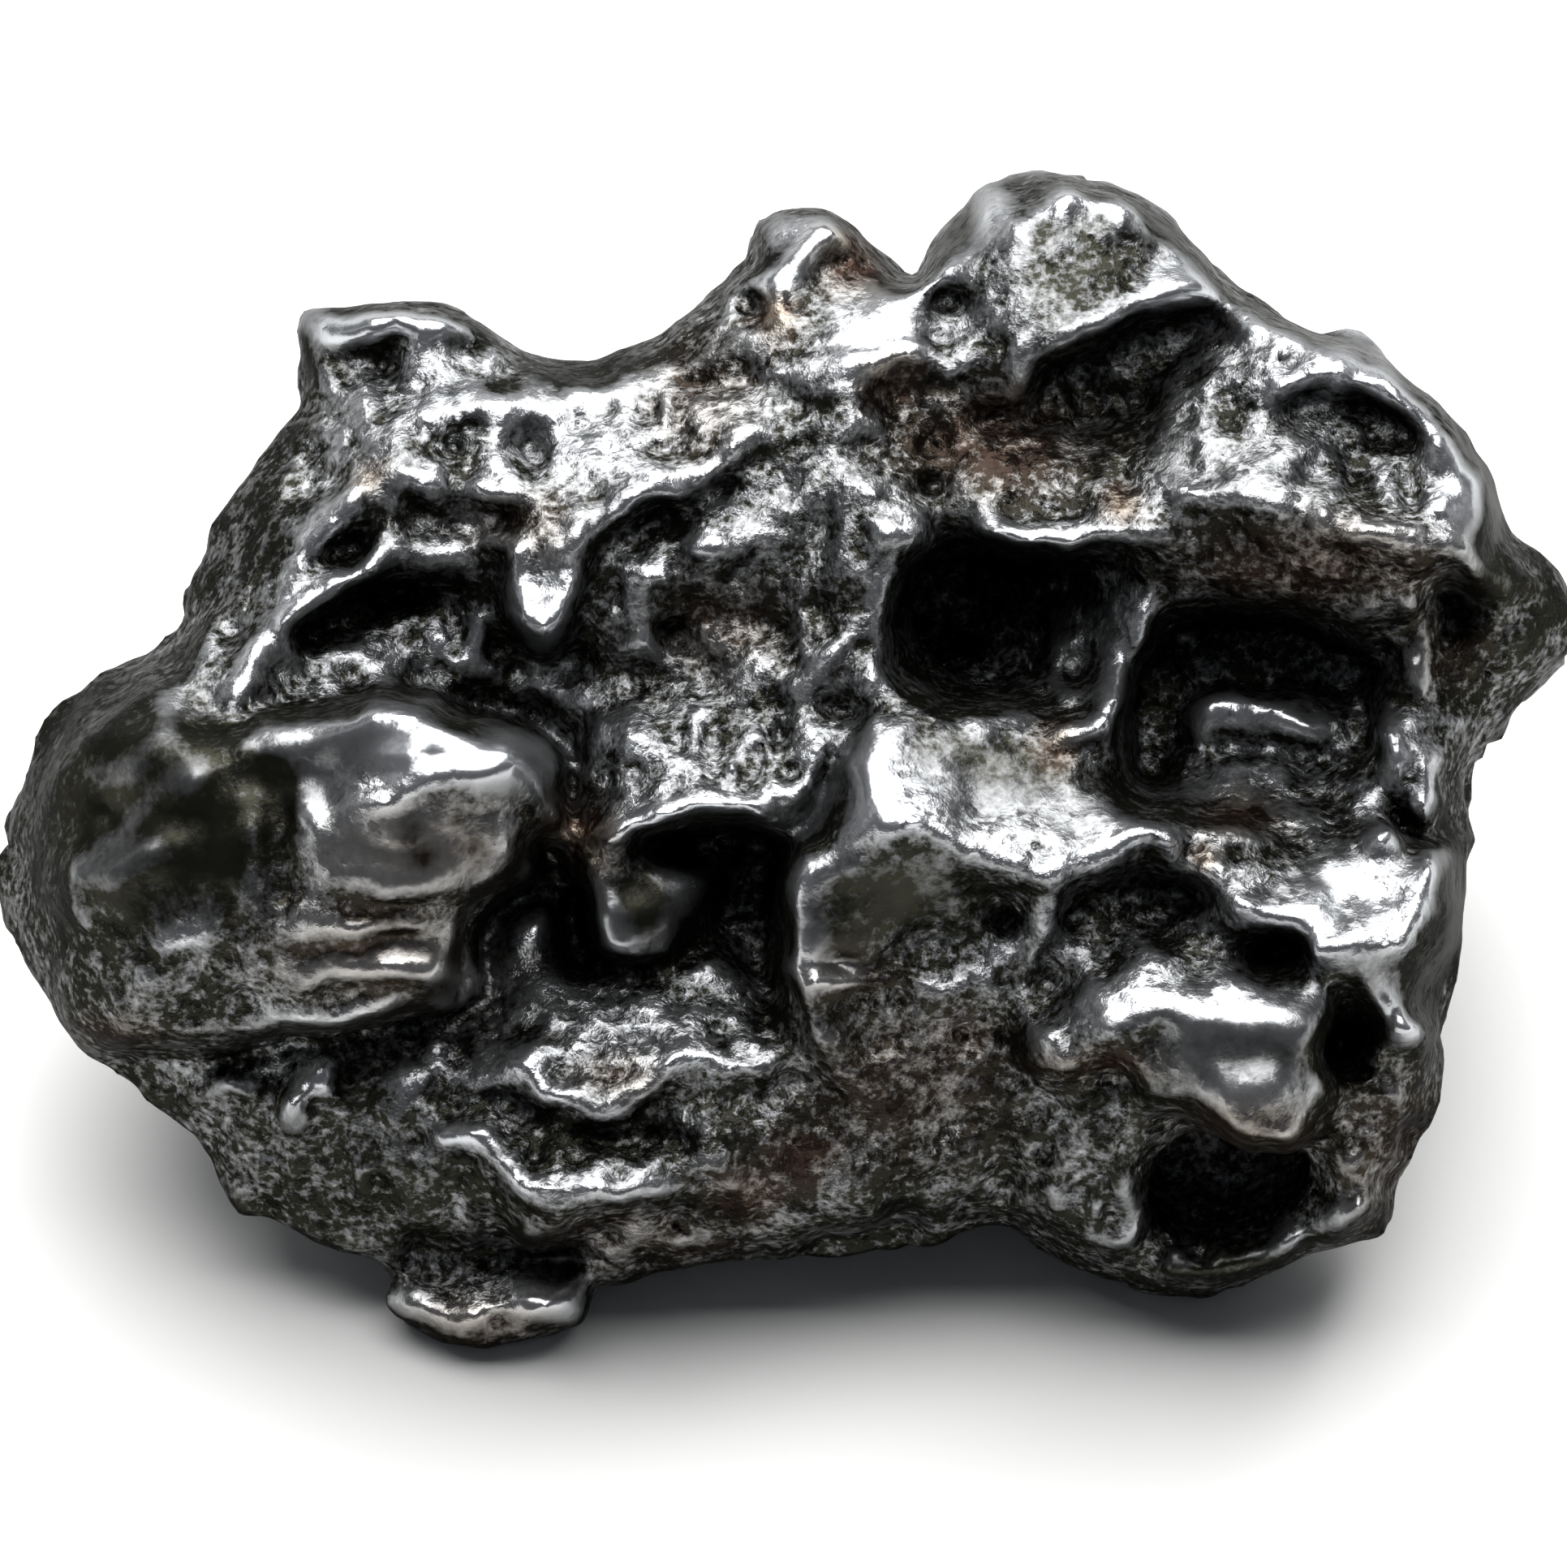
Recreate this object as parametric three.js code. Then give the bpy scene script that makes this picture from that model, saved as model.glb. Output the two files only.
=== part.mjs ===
// An iron meteorite: one torn, ridged lump of metal lying on a few worn spots of its underside.
// Its upper face is described on a sloping plane: u runs along the length, v up the slope and
// w straight out of the plane. Every size is in millimetres.
import * as THREE from "three";

const CELL = 0.95; // spacing of the sampling lattice
const SHEET_STEP = 0.25; // spacing of the grid on which the face is stretched
const SHEET_ROUNDS = 250; // how often the sheet is evened out on each grid
const RELIEF = 0.3; // how much the ridges and valleys are heightened
const RELIEF_REACH = 3; // and how many grid spots away they are compared with their surroundings
const FACE_SLOPE = THREE.MathUtils.degToRad(50); // how far w leans up from the horizontal
const REST_HEIGHT = 9.9; // the middle of the sloping plane over the resting plane
const SPAN = { u: [-21.6, 21.8], v: [-16.2, 17.4], w: [-16.4, 12.2] };
const LEAST_FRONT = 0.8; // least thickness in front of the widest line
const EDGE_RISE = 1.6; // thickness in front of the widest line at the outline
const OUTSET = 0.16; // makes up for what the rounding of the samples takes off
const BACK_TAPER = 0.02; // how fast the sides draw in behind the widest line
const REAR_BLEND = 1.8; // rounding where the rear side and the underside meet the rest
const CUT_BLEND = 0.45; // rounding where a hollow meets the face
const SKIN = 1.6 * CELL; // samples tell apart no more than this depth on either side of the surface
const FLAT_TOLERANCE = 0.16; // lattice points this close to the resting plane lie on it

// The widest line round the lump, as u, v.
const OUTLINE = [
  [-12, 9.6], [-12, 11.3], [-11.6, 11.8], [-11, 11.9], [-8.5, 11.95], [-7.3, 11.4],
  [-6.4, 10.75], [-5, 10.5], [-4.2, 10.75], [-2.5, 11.55], [-1.2, 12.85], [-0.75, 13.6],
  [-0.4, 14.2], [0.1, 14.4], [0.9, 14.4], [1.5, 14.05], [2.2, 13.5], [3.2, 12.6],
  [3.9, 13.6], [4.5, 14.6], [5, 15], [6.3, 15.25], [8, 15], [9, 14.6], [10.2, 13.7],
  [11.1, 12.5], [12.1, 12], [13.1, 11.3], [14.4, 11], [15.6, 10.15], [16.9, 9],
  [17.7, 7.8], [18.1, 6.4], [18.8, 5.6], [19.3, 5.1], [19.6, 4], [19.3, 3], [18.1, 1.8],
  [17, 0.4], [16.8, -0.2], [17, -1.2], [17, -2.5], [16.7, -4.3], [16.2, -5.8],
  [16.5, -7.2], [16.5, -7.9], [16.2, -8.5], [15.2, -9.7], [15, -11], [14.6, -11.5],
  [13, -11.9], [11, -12.55], [10, -12.75], [8, -12.35], [6.2, -11.4], [5, -10.95],
  [3.8, -11.5], [2, -11.9], [0, -11.9], [-2, -12], [-4, -12.45], [-4.6, -12.5],
  [-4.9, -13.35], [-5.5, -13.6], [-7.5, -13.95], [-9.3, -13.45], [-9.9, -12.8],
  [-9.6, -12.4], [-10, -11.85], [-11, -11.7], [-12.6, -10.95], [-13.6, -10.6],
  [-14.2, -9.4], [-15, -8.6], [-16, -8], [-17.6, -6.6], [-18.9, -4.5], [-19.35, -2],
  [-19, -0.3], [-18.2, 1.4], [-17.2, 2.5], [-16, 3], [-15.05, 3.8], [-14.6, 5.2],
  [-13.8, 6.9], [-12.5, 8.8],
];

// The widest line's own depth, and the width of the rounding in front of it: u, v, w, width.
const WIDEST = [
  [-19, -2, -1, 2.2], [-17, 2, -1, 1.8], [-14.5, 4.5, -1.2, 1.2], [-10, 11, -2.5, 0.8],
  [-5, 10.5, -2.2, 1], [0, 14, -2.2, 0.8], [5, 15, -3.4, 0.9], [8.5, 14.5, -3.4, 1.2],
  [13, 11.5, -3, 1.2], [18, 6.7, -1, 1.4], [19, 4, -1.4, 0.8], [17, 0, -1, 0.9],
  [16.8, -3, -1, 1.1], [16.5, -7, -0.4, 1.1], [10, -12.5, -1.1, 1.1], [1, -12, -1.1, 0.9],
  [-7, -13.8, -1, 0.8], [-13, -11, -0.8, 1.1], [-17, -7, -0.4, 1.5],
];

// Lines along which the face bends, ridge by ridge and valley by valley: points u, v, w.
const BREAKS = {
  leftNub: [
    [[-10.7, 11, 0.6], [-10, 11.2, 0.9], [-9.2, 11.35, 1], [-8.4, 11.45, 0.8], [-7.6, 11.1, 0.4]],
    [[-10.4, 11.75, 0.2], [-9.4, 11.8, 0.3], [-8.5, 11.8, 0.1]],
    [[-11.7, 11.3, -0.4], [-11.2, 11.5, -0.2]],
    [[-11.2, 10.5, -0.7], [-10.4, 10.5, -0.4], [-9.8, 10.7, -0.1], [-9.2, 10.95, 0.3]],
    [[-11.5, 9.7, -0.3], [-10.5, 9.6, 0.6], [-9.5, 9.7, 1.1], [-8.5, 9.9, 1.2], [-7.6, 10.2, 0.9]],
    [[-9, 10.6, 0.9], [-8.1, 10.9, 0.8]],
  ],
  collar: [
    [
      [-12.4, 8, 0], [-11.2, 8, 1.3], [-10.4, 8.2, 2.2], [-9.6, 8.35, 2.6], [-8.9, 8.8, 2.7],
      [-8, 9.1, 2.7], [-7, 9.3, 2.7], [-6.2, 9.3, 2.5], [-5.6, 9.1, 2.3],
    ],
    [[-8.6, 8.5, 2.1], [-8, 8.65, 2], [-7.5, 8.4, 2.3]],
    [[-8.5, 7.8, 2.7], [-7.7, 7.7, 2.9]],
    [[-6.8, 8.35, 2.4], [-6.3, 8.75, 2.1], [-5.7, 8.75, 2.1], [-5.3, 8.4, 2.4]],
    [[-7.15, 8.25, 3], [-6.8, 7.7, 3.4], [-6.3, 7.3, 3.7]],
    [[-9.8, 7.4, 3.2], [-8.6, 7.15, 3.6], [-7.3, 7.1, 3.8], [-6.1, 7.1, 3.9]],
    [[-9, 6.7, 2.5], [-7.6, 6.7, 2.6], [-6.5, 6.7, 3.3]],
    [[-8.9, 5.5, 2.9], [-7.8, 5.7, 3.2], [-6.9, 5.6, 3.8]],
    [[-8, 4.8, 2.2], [-7.3, 4.5, 2]],
  ],
  rimSmallPocket: [
    [
      [-11.95, 4.9, 3.2], [-12, 5.5, 3.1], [-11.7, 6, 3.3], [-11.2, 6.5, 3.5], [-10.7, 7, 3.5],
      [-10.3, 7.6, 3.1],
    ],
    [[-11.4, 5.5, 2.5], [-10.8, 5.9, 2.2], [-10.2, 6.1, 2.4]],
    [[-9.8, 5.7, 3.4], [-9.6, 6.4, 3.3]],
    [[-13.2, 7.2, 0.4], [-13, 5.8, 1.5], [-13.2, 4.4, 2.2], [-13.8, 3.2, 2.6]],
  ],
  secondRidgeAndHollow: [
    [
      [-13.9, 1.3, 5.2], [-13.4, 2.1, 4.8], [-13, 2.8, 4.5], [-12.6, 3.6, 4.2], [-12.1, 4.1, 4],
      [-11.3, 4.6, 3.9], [-10.2, 5.2, 3.9], [-9.9, 5.6, 3.6],
    ],
    [[-11.9, 3.6, 2.3], [-11.2, 4.1, 1.5], [-10.3, 4.6, 0.9], [-9.6, 4.8, 0.6], [-8.8, 4.6, 0.9]],
    [
      [-13.2, 1.9, 4.1], [-12.2, 2, 3.8], [-11, 2, 3.5], [-10, 2.45, 3], [-9.2, 2.5, 2.5],
      [-8.3, 2.15, 1.6], [-7.5, 1.8, 1.2], [-6.3, 1.6, 1], [-5.4, 1, 1.2], [-5.1, 0.2, 1.8],
      [-5.3, -0.6, 2.3],
    ],
  ],
  boot: [
    [
      [-13.7, 0.9, 6.3], [-12.6, 1.35, 6.9], [-11.3, 1.45, 7.3], [-10.6, 1.65, 7.6], [-10, 1.9, 7.8],
      [-9.3, 1.9, 7.9], [-8.5, 1.6, 7.9], [-7.9, 1.3, 7.8], [-7.1, 1.15, 7.7], [-6.4, 1, 7.5],
      [-5.85, 0.5, 7.2], [-5.6, 0, 7], [-5.75, -0.6, 7], [-6.15, -1.2, 7], [-6.35, -1.9, 6.9],
      [-6.75, -2.4, 6.8], [-7.5, -2.6, 6.8], [-7.7, -3, 6.7], [-8, -3.5, 6.4], [-8.1, -4.2, 6.2],
      [-7.8, -4.75, 5.6],
    ],
    [
      [-5.9, -1.6, 1.2], [-6.1, -2.5, 0.8], [-6.9, -2.9, 0.8], [-7.3, -3.5, 1], [-7.5, -4.2, 1.2],
      [-7.3, -5, 1.6], [-7.9, -5.4, 1.9], [-9.2, -5.85, 2.3], [-10.6, -6.1, 2.5], [-12, -6.35, 2.4],
      [-13.5, -6.6, 2], [-15.5, -6.8, 1.5], [-17, -7, 0.7],
    ],
    [
      [-10.6, -0.75, 8.5], [-9.9, -0.5, 8.8], [-9, -0.05, 9.1], [-8.2, 0.15, 9.2], [-7.2, 0.25, 9.1],
      [-6.5, 0.3, 8.6],
    ],
    [[-9.8, 1.2, 8.1], [-9.4, 0.8, 8.5]],
    [[-12.1, -1.6, 7.6], [-11.2, -2.2, 8], [-10, -2.4, 8.3], [-9, -2.6, 8.3], [-7.8, -2.45, 7.8]],
    [[-7.1, -1, 8.3], [-6.7, -1.7, 8]],
    [[-12.4, 0.5, 7.2], [-11.5, 0.7, 7.3], [-11.1, -0.1, 7.5], [-11.1, -0.8, 7.9]],
    [[-12, -0.7, 7.8], [-11.4, -1.1, 8.2]],
    [[-12.1, -2.9, 7.3], [-11, -2.95, 7.6], [-10.2, -3.1, 7.4], [-9.2, -3, 7.3], [-8.3, -2.8, 7.2]],
    [[-12.2, -3.4, 7.4], [-10.3, -3.45, 7.9], [-8.7, -3.4, 7.7]],
    [[-12, -4, 6.9], [-10.3, -3.95, 6.9], [-8.9, -3.9, 6.7]],
    [[-12.2, -4.5, 6.8], [-10.6, -4.4, 7.2], [-9.4, -4.6, 7.2], [-8.6, -4.7, 6.9]],
    [[-11.8, -5.1, 6], [-10.3, -5, 6], [-9, -5.1, 5.9]],
    [[-12.4, -5.9, 5.2], [-11.2, -5.75, 5.8], [-10, -5.5, 6], [-9, -5.4, 6], [-8.2, -5.1, 5.7]],
  ],
  leftLobe: [
    [[-12.35, 0.2, 6.9], [-12.15, -0.8, 7], [-12.1, -2, 6.9], [-12.2, -3, 6.9]],
    [[-13.1, -0.4, 7.4], [-13, -1.6, 7.4], [-13.1, -2.8, 7.2]],
    [[-14.2, 0.4, 6.9], [-14.9, -0.7, 6.9], [-15.6, -1.6, 6.7], [-16.6, -2.2, 6.2]],
    [[-14.2, -1.5, 6.8], [-14.6, -2.6, 6.7]],
    [[-17.35, -2, 5.5], [-17.4, -2.8, 5.3], [-17.1, -3.6, 5.2]],
    [[-18, -1.9, 4], [-18, -2.8, 3.8], [-17.8, -3.8, 3.6]],
    [[-18.1, -0.4, 3.7], [-17.5, 0.7, 4.1], [-16.6, 1.8, 4.2], [-15.6, 2.4, 4.1]],
    [[-16, 0.3, 5.9], [-15, 1.4, 5.6]],
    [[-14.5, 3, 3.2], [-13.9, 4, 2.2], [-13.9, 5, 1.2]],
    [
      [-16.4, -5.3, 5], [-15.7, -4.9, 5.5], [-15, -4.5, 5.9], [-14, -4.35, 6.2], [-13, -4.4, 6.4],
      [-12.4, -4.8, 6.4],
    ],
    [[-16, -3.8, 5.6], [-14.6, -3.8, 6.4], [-13, -3.7, 6.7]],
    [[-15.2, -5.3, 5], [-13.8, -5.3, 5.4], [-12.8, -5.4, 5.5]],
    [
      [-17.7, -5, 3.6], [-17.5, -6.2, 2.9], [-17, -6.5, 3.1], [-16.2, -6.35, 3.9], [-15.5, -6.15, 4.3],
      [-14, -6.2, 4.4], [-12.6, -6.05, 4.7],
    ],
  ],
  lowerLeft: [
    [[-16.3, -7.4, 0.6], [-15, -7.6, 1.3], [-14, -7.3, 2.2], [-13, -7.3, 2.6]],
    [[-11.3, -6.4, 3.3], [-11.4, -7, 3.7], [-11.9, -7.6, 3.6], [-12, -8.5, 3]],
    [[-12.4, -7.2, 2.4], [-12.7, -8.3, 2]],
    [[-10.7, -6.8, 2.9], [-10.9, -8, 2.7], [-11, -9, 2.2]],
    [[-9.8, -7.2, 3.2], [-8.6, -7, 3.2], [-7.8, -7.2, 3.3]],
    [
      [-14.4, -9, 0.6], [-13.4, -8.8, 1.5], [-12.2, -9.4, 1.8], [-11, -9.6, 2], [-9.8, -9.9, 2.6],
      [-8.8, -9.8, 2.7],
    ],
    [[-13, -10.4, -0.1], [-11.6, -10.5, 0.9], [-10, -10.8, 1.2], [-8.8, -10.8, 1.4]],
  ],
  bottomNub: [
    [[-9.7, -12.6, 0.3], [-9.2, -12.95, 0.6], [-8.5, -13.1, 0.8], [-7.5, -13.1, 0.9]],
    [[-9, -12.1, -0.1], [-8, -12.1, 0.1], [-7.1, -12.2, 0.2]],
    [[-6.4, -12.7, 1.2], [-5.8, -12.8, 1.5], [-5.3, -12.7, 1.2]],
    [[-9.4, -11.7, -0.2], [-8, -11.4, 0.2], [-6.4, -11.6, -0.2], [-5.2, -11.8, 0]],
  ],
  lowerMiddle: [
    [
      [-6.4, -4.4, 1.8], [-5.2, -4.9, 2], [-3.8, -4.6, 2.2], [-2.2, -4.5, 2.5], [-1, -4.8, 2.5],
      [-0.4, -5.6, 2.7],
    ],
    [[-7.3, -6, 2.4], [-6, -5.9, 3], [-4.6, -5.9, 3.3], [-2.8, -5.6, 3.4], [-1.4, -5.9, 3.5]],
    [
      [-3.4, -7.7, 4.7], [-3.1, -7.3, 4.7], [-2.6, -6.8, 4.6], [-2.1, -6.6, 4.6], [-1.7, -6.8, 4.6],
      [-1.2, -7.05, 4.7], [-0.6, -7, 4.6], [-0.1, -6.6, 4.3], [0.2, -6.3, 3.9],
    ],
    [[-6.4, -7.1, 4.1], [-6, -6.7, 4.1], [-5.5, -6.6, 4]],
    [
      [-6.8, -7.3, 3.9], [-6, -7.4, 4.2], [-5.7, -7.7, 4.5], [-5.2, -8, 4.7], [-4.6, -8.2, 4.6],
      [-4.1, -7.9, 4.6], [-3.6, -7.9, 4.5],
    ],
    [[-7.1, -7.7, 3], [-6.3, -8, 3], [-5.7, -8.4, 3.3]],
    [[-3.4, -8, 3.9], [-2.6, -7.5, 3.9], [-2, -7.3, 4.2], [-1.2, -7.6, 4], [-0.4, -7.5, 3.7]],
    [
      [-7, -9.2, 4.1], [-6.5, -9.7, 4.6], [-6, -10.15, 4.8], [-5.6, -10.2, 4.9], [-5.2, -9.8, 4.8],
      [-5, -9.2, 4.5],
    ],
    [[-6.2, -9.2, 3.8], [-5.7, -9.5, 4.1]],
    [[-4.8, -8.8, 3.6], [-3.8, -8.9, 3.4], [-3, -8.8, 3.6], [-2.4, -8.5, 3.8]],
    [
      [-4.9, -10.2, 4.8], [-4.2, -10.15, 4.8], [-3.4, -10, 4.7], [-2.7, -9.75, 4.5], [-2.2, -9.5, 4.3],
      [-2.1, -9, 4.1],
    ],
    [[-4, -9.7, 4.6], [-3.5, -9.4, 4.4]],
    [[-1.9, -7.7, 4.4], [-1.6, -8.6, 4.4], [-1.2, -9.8, 4.1]],
    [[-8.2, -8.85, 3.9], [-7.8, -8.8, 4.2], [-7.2, -8.6, 4.1]],
    [[-8.2, -8, 3.3], [-7.6, -8.1, 3.4]],
    [[-8.3, -9.3, 3], [-7.6, -9.3, 3.1]],
    [[-6.4, -11, 3.2], [-5.6, -11, 3.5], [-5, -10.8, 3.6]],
    [[-6, -11.5, 1.2], [-4.6, -11.2, 1.8], [-3.4, -10.7, 2.6], [-2.4, -10.3, 2.9], [-1.4, -10.4, 2.9]],
    [[-4, -12, 0.6], [-2, -11.7, 0.8], [-0.6, -11.5, 0.9]],
  ],
  bottomCentre: [
    [[-0.3, -11.6, 0.9], [0.8, -11, 2], [2, -10.65, 2.4], [3, -10.25, 2.6], [3.8, -10.3, 2.4]],
    [[0.6, -11.55, -0.6], [2, -11.3, -0.8], [3.2, -11, -0.6]],
    [[0, -9.9, 3.2], [1.2, -9.9, 3.3], [2.6, -9.6, 3.4], [3.6, -9.5, 3.2]],
    [[0.3, -7.2, 3.5], [1.4, -7.7, 4], [2.6, -7.6, 4.3], [4, -7.8, 3.8], [5.4, -8.4, 3.5]],
    [[4.4, -9.8, 2.5], [5.4, -10.2, 1.6], [6, -9.4, 2.8]],
    [[0.4, -7.8, 4.3], [0.8, -7.7, 4.2]],
  ],
  columnUnderPeak: [
    [
      [0.45, -1.9, 6.4], [0.25, -2.4, 6.3], [0.2, -3, 6.2], [0.3, -3.8, 6.2], [0.2, -4.6, 6],
      [0.5, -5.3, 5.7], [0.8, -6, 5.3], [1.2, -6.8, 5], [1.8, -7, 4.8],
    ],
    [[-0.1, -1.7, 0.9], [-0.3, -2.4, 0.8], [-0.35, -3.4, 0.8], [-0.35, -4.5, 1.4], [-0.1, -5.6, 2.7]],
    [[0.4, -3.85, 6.2], [1.3, -3.9, 6], [2.1, -3.9, 5.8], [2.6, -3.5, 5.8], [3.1, -3.2, 5.7]],
    [[1, -4.4, 5.4], [1.8, -4.4, 5.2]],
    [[0.9, -4.8, 5.8], [1.6, -4.75, 5.7]],
    [[2.4, -4.2, 5], [3.4, -3.9, 4.9], [4.4, -3.7, 4.8]],
    [[3.2, -5.2, 5.1], [4.1, -4.9, 5.2], [4.9, -4.5, 5.2], [5.6, -3.75, 5.2]],
    [[5.1, -5.3, 5], [5.8, -4.8, 5]],
    [[2.4, -6, 4.6], [3.8, -6.1, 4.4], [4.6, -6.4, 4.2]],
    [[5.3, -5.9, 4], [5.6, -6.8, 4], [6.2, -7.6, 4.3]],
  ],
  peak: [
    [[2.3, 1.5, 5.7], [2.15, 0.8, 6.3], [2.1, 0, 6.9], [2.15, -0.7, 7.5]],
    [
      [1.1, -1.9, 6.7], [1.8, -1.4, 7.2], [2.4, -0.95, 7.7], [3, -0.9, 7.7], [3.6, -1.15, 7.6],
      [4.5, -1.6, 7.3], [5.2, -1.85, 7.2], [6, -2.05, 7.1], [6.7, -2.2, 7.1], [7.1, -2.1, 7],
      [7.8, -1.65, 6.8], [8.4, -1.3, 6.7], [8.75, -1.1, 6.6],
    ],
    [
      [2.8, 1.2, 5.8], [3.1, 0.5, 6.1], [3.8, 0.2, 6.1], [4.8, 0, 5.8], [5.8, -0.3, 5.7], [6.8, -0.5, 5.7],
      [7.6, -0.5, 5.6], [8.1, -0.4, 5.4],
    ],
    [[3.2, 1.5, 5.4], [4.5, 1.3, 5.1], [5.8, 1.2, 4.8], [6.3, 0.6, 4.9], [7.3, 0.3, 5]],
    [[1.3, 1.2, 4.5], [1.05, 0.2, 4.1], [0.9, -0.7, 4.2], [0.35, -1.3, 3.8]],
    [[1.6, 1.2, 5], [1.5, 0, 5.6], [1.4, -1, 6]],
    [[0.5, -1.5, 5.6], [0.8, -2, 6.5]],
    [[1.3, -2.8, 6.3], [2.4, -2.4, 6.5], [3.6, -2.4, 6.4], [4.6, -2.5, 6.1]],
    [[1.1, 1.8, 3.5], [2.2, 1.8, 3.8]],
  ],
  pocketsUnderRidge: [
    [[5, -2.6, 5.4], [5.4, -3, 4.7], [5.3, -3.5, 4.9]],
    [[5.9, -2.5, 6.4], [6.1, -3.6, 5.7], [6.6, -3.1, 6], [7, -2.6, 6.2]],
    [[7, -3.2, 4.8], [7.8, -2.7, 4.9]],
    [[8.5, -2.4, 4.6], [9.3, -2.5, 4.1], [10.1, -2.7, 4.2], [9.6, -3.1, 4.5]],
    [[7.2, -3.8, 5], [8.4, -3.6, 5], [9.6, -3.7, 5.1], [10.4, -3.3, 5.5]],
    [[6.4, -5, 4.6], [7.2, -4.9, 5.2], [7.6, -4.5, 5.6]],
  ],
  brightFacetRightRidge: [
    [
      [9, -1.35, 6.5], [9.6, -1.65, 6.4], [10.2, -2, 6.4], [10.7, -2.5, 6.6], [11.3, -3, 6.9],
      [12, -3.4, 7.1], [12.8, -3.6, 7.2], [13.1, -4.2, 7.4], [13.5, -4.2, 7.4], [14.2, -4.05, 7.3],
      [15, -3.95, 7.1], [15.3, -3.6, 6.9], [15.6, -2.6, 6.4], [15.85, -1.9, 6], [15.8, -1.5, 5.8],
    ],
    [
      [9, -1, 5.7], [10, -0.95, 5.5], [11, -1.2, 5.4], [11.6, -1.6, 5.4], [12.6, -2, 5.5],
      [13.5, -1.9, 5.5], [14.3, -1.9, 5.6], [15.2, -1.4, 5.6],
    ],
    [[14.5, -1.4, 6], [14.9, -1.25, 5.9]],
    [[11.2, -2, 6], [12, -2.6, 6.3], [12.8, -3, 6.6]],
    [[13.6, -2.7, 5.9], [14.6, -2.7, 5.9]],
    [[10.8, -3.7, 5.6], [11.2, -4.5, 5.7]],
    [[11.6, -4.4, 4.4], [12.2, -4, 4], [12.8, -4, 4.2]],
    [[16.3, -1.6, 4], [16.5, -2.8, 3.8], [16.4, -4.2, 3.8]],
    [
      [13.2, -4.7, 6.5], [14.2, -4.9, 6.5], [14.7, -5.4, 6.3], [15.1, -5.9, 6.1], [15.5, -6.25, 5.8],
      [15.95, -5.8, 5.2],
    ],
    [[13.8, -5.3, 4.2], [13.75, -6, 2.6], [13.75, -6.8, 2.4]],
    [[14.3, -5.7, 4.2], [14.7, -6.1, 4.6]],
    [[14.3, -6.4, 4.6], [15, -6.6, 4.7], [15.7, -6.6, 4.2]],
  ],
  tongue: [
    [
      [7.1, -6.05, 6.5], [7.7, -5.4, 6.6], [8.2, -4.8, 6.5], [8.7, -4.5, 6.4], [9.3, -4.45, 6.4],
      [9.8, -4.85, 6.7], [10.6, -4.95, 6.8], [11.4, -4.85, 6.7], [12, -5.15, 6.8], [12.5, -5.3, 6.8],
      [13, -5.1, 6.6], [13.3, -5.9, 6.5], [13.35, -7, 6.5], [13, -7.9, 6.6], [12.3, -8.55, 6.8],
      [11.6, -8.75, 6.9], [11, -8.5, 7], [10.3, -8, 7], [9.9, -7.65, 6.9], [9.1, -7.5, 6.6],
      [8.9, -7, 6.6], [8.1, -6.75, 6.4], [7.4, -6.75, 6.2], [6.7, -6.95, 6], [6.1, -6.9, 5.8],
    ],
    [
      [7.6, -6, 7], [8.4, -5.8, 7.2], [9.4, -5.5, 7.3], [10.6, -5.6, 7.6], [12, -5.8, 7.6],
      [12.9, -6.2, 7.3],
    ],
    [[8.4, -5.2, 6.8], [8.9, -5.1, 6.8]],
    [[9.8, -6.8, 7.3], [10.8, -6.7, 7.5], [11.8, -6.8, 7.5]],
    [[10.5, -7.5, 7.6], [11.5, -7.55, 7.8], [12.4, -7.4, 7.6]],
    [[6.2, -6.2, 5.9], [6.9, -6.3, 6.4]],
    [
      [5.9, -7.2, 4.8], [7, -7.35, 4.8], [8.2, -7.2, 4.9], [8.6, -7.9, 4.8], [9.6, -8.2, 3.6],
      [10.4, -8.7, 2.4], [11.6, -9.2, 2], [12.6, -9, 2.8], [13.4, -8.4, 4], [13.8, -7.3, 4.6],
    ],
  ],
  bowlAndRightLump: [
    [[7.6, -8.8, 4.5], [8.5, -8.7, 4.3], [8.6, -9.6, 3.8], [8.2, -10.6, 3.1], [8.3, -11.4, 2.3]],
    [[9.5, -9.5, 0.8], [10.5, -9.9, -0.1], [11.7, -9.8, 0.2]],
    [[9.2, -10.8, 1], [10.4, -10.9, 0.2], [11.8, -10.7, 0.5]],
    [[9.5, -12, 1.9], [10.3, -12.05, 2.1], [11.2, -11.95, 2.1], [12, -11.65, 2.3], [12.6, -11.2, 2.6]],
    [[12.6, -10.2, 2], [12.8, -9.5, 2.4]],
    [[7.2, -11.3, 2], [7.8, -11.5, 2.1]],
    [[6.6, -9.8, 3.3], [7, -10.6, 2.8]],
    [[14.2, -7.8, 4.5], [15.2, -7.7, 4.1]],
    [[13.6, -9.2, 3.9], [14.6, -9.2, 3.8], [14.2, -10.4, 3.5], [13.4, -11, 2.9]],
  ],
  firstCavity: [
    [
      [3.1, 5.95, 4.4], [2.7, 5.3, 4.4], [2.45, 4.6, 4.4], [2.3, 3.9, 4.3], [2.1, 3.2, 4.4],
      [2.7, 2.3, 4.8], [3, 1.85, 5.1], [4.5, 1.75, 4.6], [5.7, 1.7, 4.3],
    ],
    [
      [3.3, 5.3, 0.6], [3.2, 4.4, 0], [3, 3.6, 0.8], [3.4, 2.8, 1.2], [4.2, 2.4, 1.6], [5.4, 2.3, 1.2],
      [6.2, 2.4, 1.4],
    ],
    [[4, 4.9, -1.8], [4.2, 4, -2.2], [4.8, 3.2, -1.8]],
    [[5.4, 5, -1.8], [5.4, 4.2, -2], [6.6, 4.8, -0.8], [7.2, 5.2, 0.6]],
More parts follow.
